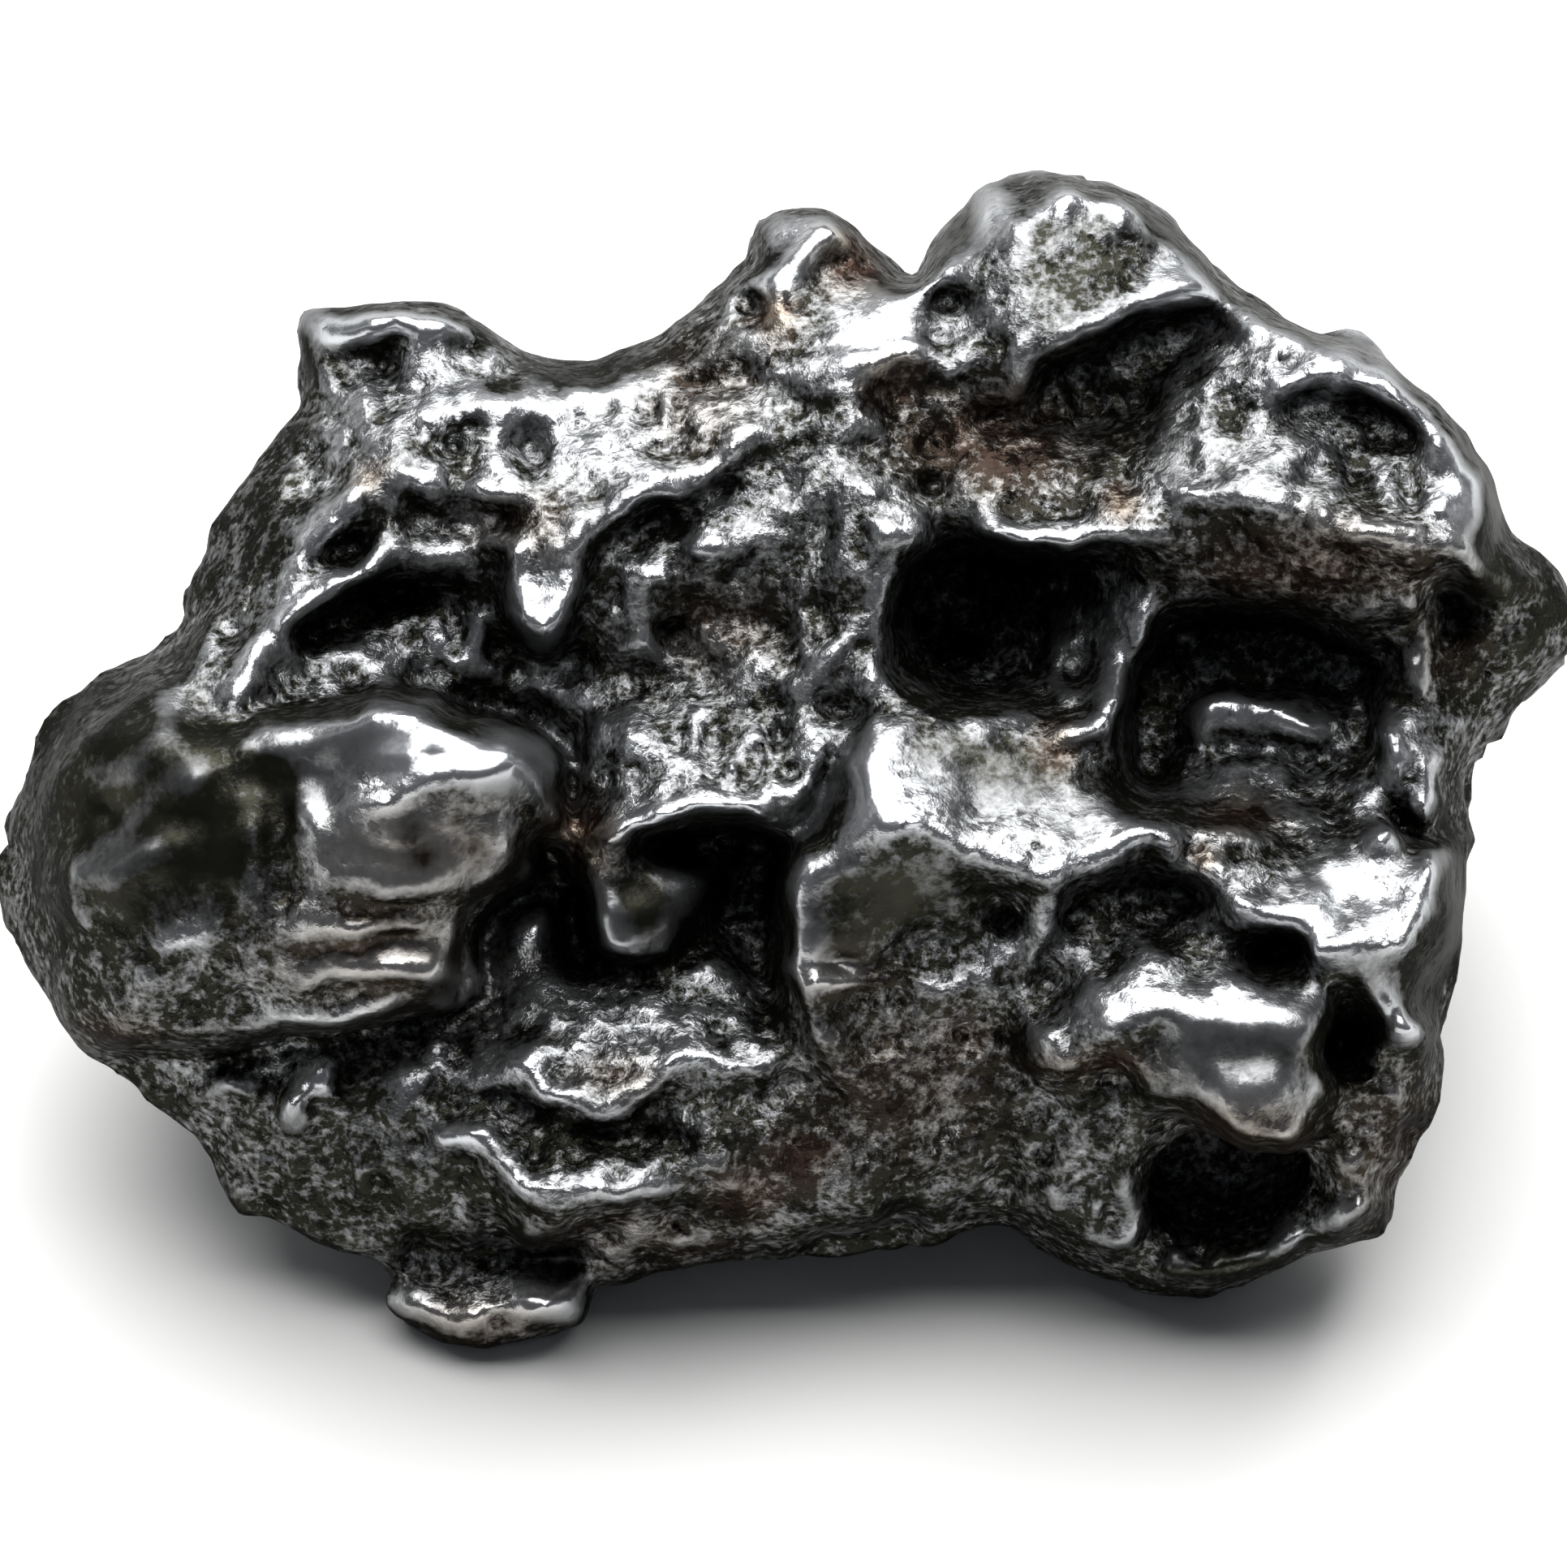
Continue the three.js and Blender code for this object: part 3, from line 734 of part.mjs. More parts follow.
// Each sample becomes the mean of itself and its neighbours, which rounds what is finer than
// the lattice, and then the worn spots are cut flat.
function settle({ counts, values }) {
  const [nu, nv, nw] = counts;
  for (const step of [nv * nw, nw, 1]) {
    const before = Float64Array.from(values);
    for (let s = step; s + step < values.length; s++) {
      values[s] = (before[s - step] + 4 * before[s] + before[s + step]) / 6;
    }
  }
  for (let j = 0; j < nv; j++)
    for (let k = 0; k < nw; k++) {
      const z = place(0, SPAN.v[0] + j * CELL, SPAN.w[0] + k * CELL)[2];
      for (let i = 0; i < nu; i++) {
        const s = (i * nv + j) * nw + k;
        values[s] = Math.max(values[s], -z);
      }
    }
}

// Where four or eight neighbours touch only across a corner, one of them is filled in, so that
// the surface between inside and outside never pinches itself.
function fillPinches({ counts, values }) {
  const [nu, nv, nw] = counts;
  const step = [nv * nw, nw, 1];
  const filled = -0.15 * CELL;
  let changed = true;
  const fill = (...spots) => {
    const outside = spots.filter((s) => values[s] >= 0);
    outside.sort((a, b) => values[a] - values[b]);
    values[outside[0]] = filled;
    changed = true;
  };
  while (changed) {
    changed = false;
    for (let i = 0; i + 1 < nu; i++)
      for (let j = 0; j + 1 < nv; j++)
        for (let k = 0; k + 1 < nw; k++) {
          const here = (i * nv + j) * nw + k;
          for (const [a, b] of [[0, 1], [0, 2], [1, 2]]) {
            for (const lift of [0, step[3 - a - b]]) {
              const [across, along] = [step[a], step[b]];
              const q = [0, across, across + along, along].map((s) => here + s + lift);
              const [p0, p1, p2, p3] = q.map((s) => values[s] < 0);
              if (p0 === p2 && p1 === p3 && p0 !== p1) fill(...q);
            }
          }
          const corners = [0, 1, 2, 3, 4, 5, 6, 7].map(
            (c) => here + (c & 1 ? step[0] : 0) + (c & 2 ? step[1] : 0) + (c & 4 ? step[2] : 0),
          );
          const signs = corners.map((s) => values[s] < 0);
          const within = signs.filter(Boolean).length;
          if (within !== 2 && within !== 6) continue;
          for (const c of [0, 1, 2, 3]) {
            const alone = within === 2;
            if (signs[c] === alone && signs[7 - c] === alone) fill(...corners);
          }
        }
  }
}

// One vertex in every cell the surface crosses, and a quad across every lattice edge it crosses.
function surface({ counts, values }) {
  const [nu, nv, nw] = counts;
  const step = [nv * nw, nw, 1];
  const at = (i, j, k) => (i * nv + j) * nw + k;
  const vertexOf = new Map();
  const positions = [];
  const lattice = (i, j, k) => [SPAN.u[0] + i * CELL, SPAN.v[0] + j * CELL, SPAN.w[0] + k * CELL];
  for (let i = 0; i + 1 < nu; i++)
    for (let j = 0; j + 1 < nv; j++)
      for (let k = 0; k + 1 < nw; k++) {
        const sum = [0, 0, 0];
        let crossings = 0;
        for (let c = 0; c < 8; c++) {
          const from = [i + (c & 1), j + ((c >> 1) & 1), k + ((c >> 2) & 1)];
          for (let axis = 0; axis < 3; axis++) {
            if ((c >> axis) & 1) continue;
            const a = values[at(...from)];
            const b = values[at(...from) + step[axis]];
            if (a < 0 === b < 0) continue;
            const p = lattice(...from);
            p[axis] += CELL * Math.min(0.95, Math.max(0.05, a / (a - b)));
            for (let n = 0; n < 3; n++) sum[n] += p[n];
            crossings++;
          }
        }
        if (!crossings) continue;
        const [x, y, z] = place(...sum.map((s) => s / crossings));
        vertexOf.set(at(i, j, k), positions.length / 3);
        positions.push(x, y, Math.abs(z) < FLAT_TOLERANCE ? 0 : z);
      }
  const faces = [];
  for (let i = 1; i + 1 < nu; i++)
    for (let j = 1; j + 1 < nv; j++)
      for (let k = 1; k + 1 < nw; k++)
        for (let axis = 0; axis < 3; axis++) {
          const here = at(i, j, k);
          const inward = values[here] < 0;
          if (inward === values[here + step[axis]] < 0) continue;
          const [s, t] = [step[(axis + 1) % 3], step[(axis + 2) % 3]];
          const ring = [here, here - s, here - s - t, here - t].map((c) => vertexOf.get(c));
          const [a, b, c, d] = inward ? ring : ring.reverse();
          const near = (m, n) =>
            (positions[3 * m] - positions[3 * n]) ** 2 +
            (positions[3 * m + 1] - positions[3 * n + 1]) ** 2 +
            (positions[3 * m + 2] - positions[3 * n + 2]) ** 2;
          if (near(a, c) <= near(b, d)) faces.push(a, b, c, a, c, d);
          else faces.push(a, b, d, b, c, d);
        }
  return { positions, faces };
}

const lattice = sampleLattice();
settle(lattice);
fillPinches(lattice);
const { positions, faces } = surface(lattice);

const box = new THREE.Box3().setFromArray(positions);
const centre = box.getCenter(new THREE.Vector3());
const geometry = new THREE.BufferGeometry();
geometry.setAttribute("position", new THREE.Float32BufferAttribute(positions, 3));
geometry.setIndex(faces);
geometry.translate(-centre.x, -centre.y, 0);
geometry.computeVertexNormals();

const iron = new THREE.MeshStandardMaterial({ color: "#6f6e6a", metalness: 0.9, roughness: 0.45 });
const meteorite = new THREE.Mesh(geometry, iron);
meteorite.name = "meteorite";

const part = new THREE.Group();
part.name = "iron_meteorite";
part.add(meteorite);

export default part;
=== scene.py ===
"""The looks of a small iron meteorite: a torn lump of metal, burnished on its ridges, dark and
grainy in its hollows. It is sculpted as one closed surface, from heights over a sloping plane.
Lengths are in millimetres: u runs along the sloping face, v up it and w out of it."""

import math

import bpy
import numpy as np
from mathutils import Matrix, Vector


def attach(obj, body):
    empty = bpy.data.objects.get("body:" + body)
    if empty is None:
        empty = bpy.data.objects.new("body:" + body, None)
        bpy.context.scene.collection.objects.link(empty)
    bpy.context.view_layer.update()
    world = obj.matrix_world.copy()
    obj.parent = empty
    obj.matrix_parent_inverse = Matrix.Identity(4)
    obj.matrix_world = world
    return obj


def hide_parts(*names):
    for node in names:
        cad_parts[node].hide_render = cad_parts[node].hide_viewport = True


MM = 0.001
SEED = 11
TINY = 1e-12  # keeps a division by the length of a zero step harmless

# where the lump lies
SLOPE = math.radians(50)  # how far the face leans up from the horizontal
REST_HEIGHT = 9.9  # middle of the sloping plane over the resting plane
CENTRE = (0.096, 1.899)  # middle of the lump in x and y before it is moved to the origin
WORN_FLAT = 0.03  # height under which the feet are worn quite flat

# the lattice on which the lump is sampled
CELL = 0.23  # its spacing
SPAN_U = (-20.6, 20.8)
SPAN_V = (-15.2, 16.4)
SPAN_W = (-16.6, 11.2)
CROSS_MARGIN = 0.04  # how near a lattice point the surface may cross a lattice edge, as a share of it

# the sheet stretched over the ridge and valley lines
SHEET_STEP = 0.11  # spacing of its grid
SHEET_ROUNDS = ((8, 600), (4, 600), (2, 250), (1, 250))  # how coarse the grid is, how often it is evened
SHEET_START = 2.0  # height at which it starts
SHEET_BLURS = (1, 2, 7)  # grid spots over which sharp, smooth and wide heights are evened
RELIEF = 0.3  # how much the ridges and valleys are heightened

# the lump round and behind the sheet
LEAST_FRONT = 0.8  # least thickness in front of the widest line
FRONT_DEPTH = 3.0  # thickness over which the front is rounded evenly
EDGE_RISE = 1.6  # thickness in front of the widest line at the outline
EDGE_REACH = 3.5  # how far along the outline each height of the widest line holds
BACK_TAPER = 0.02  # how fast the sides draw in behind the widest line
REAR_BLEND = 1.8  # rounding where the rear side and the underside meet the rest
CUT_BLEND = 0.35  # rounding where a hollow meets the face
SPOT_WIDTH = 0.62  # spread of a spot's weight, as a share of its reach
SPOT_FAR_WEIGHT = 1e-5  # weight that a spot keeps far away

# unevenness, as its height and its spacing
SWAY = ((0.08, 1.4), (0.06, 0.6))  # how far the lines of the face stray sideways
OUTLINE_SWAY = 0.6  # share of it that the outline takes
CRUMBS = ((0.26, 0.9), (0.20, 0.5))  # crumbs of the etched face
CRUMB_LEVEL = 0.55  # how much of a crumb stands out of the face
ROUGHNESS = ((0.16, 1.2), (0.10, 0.55))  # the unseen rear and underside

# wear of the surface, and painted shade on sheer walls, ledge undersides and the outline
RIDGE_REACH = 0.6  # distance over which a ridge is told from a hollow
RIDGE_DEPTH = 0.7  # depth over which it is told
WALL_PAINTED_SHADE = 0.65  # painted shade: how much darker the sheer walls are painted
UNDERSIDE_PAINTED_SHADE = 0.22  # painted shade: how much darker the undersides of the ledges are painted
OUTLINE_PAINTED_SHADE = 0.3  # painted shade: how much darker the outline is painted
OUTLINE_FADE = 1.5  # width of that painted shade along the edge

# grain of the metal. Crystals finer than these are too fine to show in the picture.
GRAIN_SIZE = 0.24
GRAIN_DEPTH = 0.09
CRYSTAL_SIZE = 0.22
CRYSTAL_LEAN = 0.4  # how far the crystals lean, as a slope
BLOCK_SIZE = 0.5  # groups of crystals that lean together
PATCH_SIZE = 1.5  # patches of thicker and thinner oxide

# the picture
LENS = 500.0  # a long lens, as in a close-up from a distance
SENSOR = 36.0
VIEW_WIDTH = 38.62  # what the picture spans at VIEW_PLANE over the sloping plane
VIEW_PLANE = 2.0
TABLE_SIDE = 4000.0
AIM_HEIGHT = 9.0  # height over the table at which the lights point

# The widest line round the lump, as u, v.
OUTLINE = [
    (-12, 9.6), (-12, 11.3), (-11.6, 11.8), (-11, 11.9), (-8.5, 11.95), (-7.3, 11.4), (-6.4, 10.75),
    (-5, 10.5), (-4.2, 10.75), (-2.5, 11.55), (-1.2, 12.85), (-0.75, 13.6), (-0.4, 14.2), (0.1, 14.4),
    (0.9, 14.4), (1.5, 14.05), (2.2, 13.5), (3.2, 12.6), (3.9, 13.6), (4.5, 14.6), (5, 15), (6.3, 15.25),
    (8, 15), (9, 14.6), (10.2, 13.7), (11.1, 12.5), (12.1, 12), (13.1, 11.3), (14.4, 11), (15.6, 10.15),
    (16.9, 9), (17.7, 7.8), (18.1, 6.4), (18.8, 5.6), (19.3, 5.1), (19.6, 4), (19.3, 3), (18.1, 1.8),
    (17, 0.4), (16.8, -0.2), (17, -1.2), (17, -2.5), (16.7, -4.3), (16.2, -5.8), (16.5, -7.2),
    (16.5, -7.9), (16.2, -8.5), (15.2, -9.7), (15, -11), (14.6, -11.5), (13, -11.9), (11, -12.55),
    (10, -12.75), (8, -12.35), (6.2, -11.4), (5, -10.95), (3.8, -11.5), (2, -11.9), (0, -11.9), (-2, -12),
    (-4, -12.45), (-4.6, -12.5), (-4.9, -13.35), (-5.5, -13.6), (-7.5, -13.95), (-9.3, -13.45),
    (-9.9, -12.8), (-9.6, -12.4), (-10, -11.85), (-11, -11.7), (-12.6, -10.95), (-13.6, -10.6),
    (-14.2, -9.4), (-15, -8.6), (-16, -8), (-17.6, -6.6), (-18.9, -4.5), (-19.35, -2), (-19, -0.3),
    (-18.2, 1.4), (-17.2, 2.5), (-16, 3), (-15.05, 3.8), (-14.6, 5.2), (-13.8, 6.9), (-12.5, 8.8),
]

# Lines along which the face bends, ridge by ridge and valley by valley: points u, v, w.
BREAKS = [
    # left nub
    [(-10.7, 11, 0.6), (-10, 11.2, 0.9), (-9.2, 11.35, 1), (-8.4, 11.45, 0.8), (-7.6, 11.1, 0.4)],
    [(-10.4, 11.75, 0.2), (-9.4, 11.8, 0.3), (-8.5, 11.8, 0.1)],
    [(-11.7, 11.3, -0.4), (-11.2, 11.5, -0.2)],
    [(-11.2, 10.5, -0.7), (-10.4, 10.5, -0.4), (-9.8, 10.7, -0.1), (-9.2, 10.95, 0.3)],
    [(-11.5, 9.7, -0.3), (-10.5, 9.6, 0.6), (-9.5, 9.7, 1.1), (-8.5, 9.9, 1.2), (-7.6, 10.2, 0.9)],
    [(-9, 10.6, 0.9), (-8.1, 10.9, 0.8)],
    # collar
    [(-12.4, 8, 0), (-11.2, 8, 1.3), (-10.4, 8.2, 2.2), (-9.6, 8.35, 2.6), (-8.9, 8.8, 2.7),
     (-8, 9.1, 2.7), (-7, 9.3, 2.7), (-6.2, 9.3, 2.5), (-5.6, 9.1, 2.3)],
    [(-8.6, 8.5, 2.45), (-8, 8.65, 2.4), (-7.5, 8.4, 2.6)],
    [(-8.5, 7.8, 2.7), (-7.7, 7.7, 2.9)],
    [(-6.8, 8.35, 2.8), (-6.3, 8.75, 2.4), (-5.7, 8.75, 2.3), (-5.3, 8.4, 2.6)],
    [(-7.15, 8.25, 3), (-6.8, 7.7, 3.4), (-6.3, 7.3, 3.7)],
    [(-9.8, 7.4, 3.2), (-8.6, 7.15, 3.6), (-7.3, 7.1, 3.8), (-6.1, 7.1, 3.9)],
    [(-9, 6.7, 2.5), (-7.6, 6.7, 2.6), (-6.5, 6.7, 3.3)],
    [(-8.9, 5.5, 2.9), (-7.8, 5.7, 3.2), (-6.9, 5.6, 3.8)],
    [(-8, 4.8, 2.2), (-7.3, 4.5, 2)],
    # rim of the small pocket
    [(-11.95, 4.9, 3.2), (-12, 5.5, 3.1), (-11.7, 6, 3.3), (-11.2, 6.5, 3.5), (-10.7, 7, 3.5),
     (-10.3, 7.6, 3.1)],
    [(-11.4, 5.5, 2.5), (-10.8, 5.9, 2.2), (-10.2, 6.1, 2.4)],
    [(-9.8, 5.7, 3.4), (-9.6, 6.4, 3.3)],
    [(-13.2, 7.2, 0.4), (-13, 5.8, 1.5), (-13.2, 4.4, 2.2), (-13.8, 3.2, 2.6)],
    # second ridge and the hollow under it
    [(-13.9, 1.3, 5.2), (-13.4, 2.1, 4.8), (-13, 2.8, 4.5), (-12.6, 3.6, 4.2), (-12.1, 4.1, 4),
     (-11.3, 4.6, 3.9), (-10.2, 5.2, 3.9), (-9.9, 5.6, 3.6)],
    [(-11.9, 3.6, 2.3), (-11.2, 4.1, 1.5), (-10.3, 4.6, 0.9), (-9.6, 4.8, 0.6), (-8.8, 4.6, 0.9)],
    [(-13.2, 1.9, 4.1), (-12.2, 2, 3.8), (-11, 2, 3.5), (-10, 2.45, 3), (-9.2, 2.5, 2.5),
     (-8.3, 2.15, 1.6), (-7.5, 1.8, 1.2), (-6.3, 1.6, 1), (-5.4, 1, 1.2), (-5.1, 0.2, 1.8),
     (-5.3, -0.6, 2.3)],
    # boot: its edge, the floor round it, its crest and its ledges
    [(-13.7, 0.9, 6.3), (-12.6, 1.35, 6.9), (-11.3, 1.45, 7.3), (-10.6, 1.65, 7.8), (-10, 1.9, 8.2),
     (-9.3, 1.9, 8.4), (-8.5, 1.6, 8.5), (-7.9, 1.3, 8.5), (-7.1, 1.15, 8.4), (-6.4, 1, 8.2),
     (-5.85, 0.5, 7.7), (-5.6, 0, 7), (-5.75, -0.6, 7), (-6.15, -1.2, 7), (-6.35, -1.9, 6.9),
     (-6.75, -2.4, 6.8), (-7.5, -2.6, 6.8), (-7.7, -3, 6.7), (-8, -3.5, 6.4), (-8.1, -4.2, 6.2),
     (-7.8, -4.75, 5.6)],
    [(-5.9, -1.6, 1.2), (-6.1, -2.5, 0.8), (-6.9, -2.9, 0.8), (-7.3, -3.5, 1), (-7.5, -4.2, 1.2),
     (-7.3, -5, 1.6), (-7.9, -5.4, 1.9), (-9.2, -5.85, 2.3), (-10.6, -6.1, 2.5), (-12, -6.35, 2.4),
     (-13.5, -6.6, 2), (-15.5, -6.8, 1.5), (-17, -7, 0.7)],
    [(-10.6, -0.75, 8.5), (-9.9, -0.5, 8.8), (-9, -0.05, 9.1), (-8.2, 0.15, 9.2), (-7.2, 0.25, 9.1),
     (-6.5, 0.3, 8.6)],
    [(-9.8, 1.2, 8.1), (-9.4, 0.8, 8.5)],
    [(-12.1, -1.6, 7.6), (-11.2, -2.2, 8), (-10, -2.4, 8.3), (-9, -2.6, 8.3), (-7.8, -2.45, 7.8)],
    [(-7.1, -1, 8.3), (-6.7, -1.7, 8)],
    [(-12.4, 0.5, 7.2), (-11.5, 0.7, 7.3), (-11.1, -0.1, 7.5), (-11.1, -0.8, 7.9)],
    [(-12, -0.7, 7.8), (-11.4, -1.1, 8.2)],
    [(-12.1, -2.9, 7.3), (-11, -2.95, 7.6), (-10.2, -3.1, 7.4), (-9.2, -3, 7.3), (-8.3, -2.8, 7.2)],
    [(-12.2, -3.4, 7.4), (-10.3, -3.45, 7.9), (-8.7, -3.4, 7.7)],
    [(-12, -4, 6.9), (-10.3, -3.95, 6.9), (-8.9, -3.9, 6.7)],
    [(-12.2, -4.5, 6.8), (-10.6, -4.4, 7.2), (-9.4, -4.6, 7.2), (-8.6, -4.7, 6.9)],
    [(-11.8, -5.1, 6), (-10.3, -5, 6), (-9, -5.1, 5.9)],
    [(-12.4, -5.9, 5.2), (-11.2, -5.75, 5.8), (-10, -5.5, 6), (-9, -5.4, 6), (-8.2, -5.1, 5.7)],
    # left lobe
    [(-12.35, 0.2, 6.9), (-12.15, -0.8, 7), (-12.1, -2, 6.9), (-12.2, -3, 6.9)],
    [(-13.1, -0.4, 7.4), (-13, -1.6, 7.4), (-13.1, -2.8, 7.2)],
    [(-14.2, 0.4, 6.9), (-14.9, -0.7, 6.9), (-15.6, -1.6, 6.7), (-16.6, -2.2, 6.2)],
    [(-14.2, -1.5, 6.8), (-14.6, -2.6, 6.7)],
    [(-17.35, -2, 5.5), (-17.4, -2.8, 5.3), (-17.1, -3.6, 5.2)],
    [(-18, -1.9, 4), (-18, -2.8, 3.8), (-17.8, -3.8, 3.6)],
    [(-18.1, -0.4, 3.7), (-17.5, 0.7, 4.1), (-16.6, 1.8, 4.2), (-15.6, 2.4, 4.1)],
    [(-16, 0.3, 5.9), (-15, 1.4, 5.6)],
    [(-14.5, 3, 3.2), (-13.9, 4, 2.2), (-13.9, 5, 1.2)],
    [(-16.4, -5.3, 5), (-15.7, -4.9, 5.5), (-15, -4.5, 5.9), (-14, -4.35, 6.2), (-13, -4.4, 6.4),
     (-12.4, -4.8, 6.4)],
    [(-16, -3.8, 5.6), (-14.6, -3.8, 6.4), (-13, -3.7, 6.7)],
    [(-15.2, -5.3, 5), (-13.8, -5.3, 5.4), (-12.8, -5.4, 5.5)],
    [(-17.7, -5, 3.6), (-17.5, -6.2, 2.9), (-17, -6.5, 3.1), (-16.2, -6.35, 3.9), (-15.5, -6.15, 4.3),
     (-14, -6.2, 4.4), (-12.6, -6.05, 4.7)],
    # lower left
    [(-16.3, -7.4, 0.6), (-15, -7.6, 1.3), (-14, -7.3, 2.2), (-13, -7.3, 2.6)],
    [(-11.3, -6.4, 3.3), (-11.4, -7, 3.7), (-11.9, -7.6, 3.6), (-12, -8.5, 3)],
    [(-12.4, -7.2, 2.4), (-12.7, -8.3, 2)],
    [(-10.7, -6.8, 2.9), (-10.9, -8, 2.7), (-11, -9, 2.2)],
    [(-9.8, -7.2, 3.2), (-8.6, -7, 3.2), (-7.8, -7.2, 3.3)],
    [(-14.4, -9, 0.6), (-13.4, -8.8, 1.5), (-12.2, -9.4, 1.8), (-11, -9.6, 2), (-9.8, -9.9, 2.6),
     (-8.8, -9.8, 2.7)],
    [(-13, -10.4, -0.1), (-11.6, -10.5, 0.9), (-10, -10.8, 1.2), (-8.8, -10.8, 1.4)],
    # bottom nub
    [(-9.7, -12.6, 0.3), (-9.2, -12.95, 0.6), (-8.5, -13.1, 0.8), (-7.5, -13.1, 0.9)],
    [(-9, -12.1, -0.1), (-8, -12.1, 0.1), (-7.1, -12.2, 0.2)],
    [(-6.4, -12.7, 1.2), (-5.8, -12.8, 1.5), (-5.3, -12.7, 1.2)],
    [(-9.4, -11.7, -0.2), (-8, -11.4, 0.2), (-6.4, -11.6, -0.2), (-5.2, -11.8, 0)],
    # lower middle
    [(-6.4, -4.4, 1.8), (-5.2, -4.9, 2), (-3.8, -4.6, 2.2), (-2.2, -4.5, 2.5), (-1, -4.8, 2.5),
     (-0.4, -5.6, 2.7)],
    [(-7.3, -6, 2.4), (-6, -5.9, 3), (-4.6, -5.9, 3.3), (-2.8, -5.6, 3.4), (-1.4, -5.9, 3.5)],
    [(-3.4, -7.7, 4.7), (-3.1, -7.3, 4.7), (-2.6, -6.8, 4.6), (-2.1, -6.6, 4.6), (-1.7, -6.8, 4.6),
     (-1.2, -7.05, 4.7), (-0.6, -7, 4.6), (-0.1, -6.6, 4.3), (0.2, -6.3, 3.9)],
    [(-6.4, -7.1, 4.1), (-6, -6.7, 4.1), (-5.5, -6.6, 4)],
    [(-6.8, -7.3, 3.9), (-6, -7.4, 4.2), (-5.7, -7.7, 4.5), (-5.2, -8, 4.7), (-4.6, -8.2, 4.6),
     (-4.1, -7.9, 4.6), (-3.6, -7.9, 4.5)],
    [(-7.1, -7.7, 3), (-6.3, -8, 3), (-5.7, -8.4, 3.3)],
    [(-3.4, -8, 3.9), (-2.6, -7.5, 3.9), (-2, -7.3, 4.2), (-1.2, -7.6, 4), (-0.4, -7.5, 3.7)],
    [(-7, -9.2, 4.1), (-6.5, -9.7, 4.6), (-6, -10.15, 4.8), (-5.6, -10.2, 4.9), (-5.2, -9.8, 4.8),
     (-5, -9.2, 4.5)],
    [(-6.2, -9.2, 3.8), (-5.7, -9.5, 4.1)],
    [(-4.8, -8.8, 3.6), (-3.8, -8.9, 3.4), (-3, -8.8, 3.6), (-2.4, -8.5, 3.8)],
    [(-4.9, -10.2, 4.8), (-4.2, -10.15, 4.8), (-3.4, -10, 4.7), (-2.7, -9.75, 4.5), (-2.2, -9.5, 4.3),
     (-2.1, -9, 4.1)],
    [(-4, -9.7, 4.6), (-3.5, -9.4, 4.4)],
    [(-1.9, -7.7, 4.4), (-1.6, -8.6, 4.4), (-1.2, -9.8, 4.1)],
    [(-8.2, -8.85, 3.9), (-7.8, -8.8, 4.2), (-7.2, -8.6, 4.1)],
    [(-8.2, -8, 3.3), (-7.6, -8.1, 3.4)],
    [(-8.3, -9.3, 3), (-7.6, -9.3, 3.1)],
    [(-6.4, -11, 3.2), (-5.6, -11, 3.5), (-5, -10.8, 3.6)],
    [(-6, -11.5, 1.2), (-4.6, -11.2, 1.8), (-3.4, -10.7, 2.6), (-2.4, -10.3, 2.9), (-1.4, -10.4, 2.9)],
    [(-4, -12, 0.6), (-2, -11.7, 0.8), (-0.6, -11.5, 0.9)],
    # bottom centre
    [(-0.3, -11.6, 0.9), (0.8, -11, 2), (2, -10.65, 2.4), (3, -10.25, 2.6), (3.8, -10.3, 2.4)],
    [(0.6, -11.55, -0.6), (2, -11.3, -0.8), (3.2, -11, -0.6)],
    [(0, -9.9, 3.2), (1.2, -9.9, 3.3), (2.6, -9.6, 3.4), (3.6, -9.5, 3.2)],
    [(0.3, -7.2, 3.5), (1.4, -7.7, 4), (2.6, -7.6, 4.3), (4, -7.8, 3.8), (5.4, -8.4, 3.5)],
    [(4.4, -9.8, 2.5), (5.4, -10.2, 1.6), (6, -9.4, 2.8)],
    [(0.4, -7.8, 4.3), (0.8, -7.7, 4.2)],
    # column under the peak
    [(0.45, -1.9, 6.4), (0.25, -2.4, 6.3), (0.2, -3, 6.2), (0.3, -3.8, 6.2), (0.2, -4.6, 6),
     (0.5, -5.3, 5.7), (0.8, -6, 5.3), (1.2, -6.8, 5), (1.8, -7, 4.8)],
    [(-0.1, -1.7, 0.9), (-0.3, -2.4, 0.8), (-0.35, -3.4, 0.8), (-0.35, -4.5, 1.4), (-0.1, -5.6, 2.7)],
    [(0.4, -3.85, 6.2), (1.3, -3.9, 6), (2.1, -3.9, 5.8), (2.6, -3.5, 5.8), (3.1, -3.2, 5.7)],
    [(1, -4.4, 5.4), (1.8, -4.4, 5.2)],
    [(0.9, -4.8, 5.8), (1.6, -4.75, 5.7)],
    [(2.4, -4.2, 5), (3.4, -3.9, 4.9), (4.4, -3.7, 4.8)],
    [(3.2, -5.2, 5.1), (4.1, -4.9, 5.2), (4.9, -4.5, 5.2), (5.6, -3.75, 5.2)],
    [(5.1, -5.3, 5), (5.8, -4.8, 5)],
    [(2.4, -6, 4.6), (3.8, -6.1, 4.4), (4.6, -6.4, 4.2)],
    [(5.3, -5.9, 4), (5.6, -6.8, 4), (6.2, -7.6, 4.3)],
    # peak, its ridge and the trough above
    [(2.3, 1.5, 5.7), (2.15, 0.8, 6.3), (2.1, 0, 6.9), (2.15, -0.7, 7.5)],
    [(1.1, -1.9, 6.7), (1.8, -1.4, 7.2), (2.4, -0.95, 7.7), (3, -0.9, 7.7), (3.6, -1.15, 7.6),
     (4.5, -1.6, 7.3), (5.2, -1.85, 7.2), (6, -2.05, 7.1), (6.7, -2.2, 7.1), (7.1, -2.1, 7),
     (7.8, -1.65, 6.8), (8.4, -1.3, 6.7), (8.75, -1.1, 6.6)],
    [(2.8, 1.2, 5.8), (3.1, 0.5, 6.1), (3.8, 0.2, 6.1), (4.8, 0, 5.8), (5.8, -0.3, 5.7), (6.8, -0.5, 5.7),
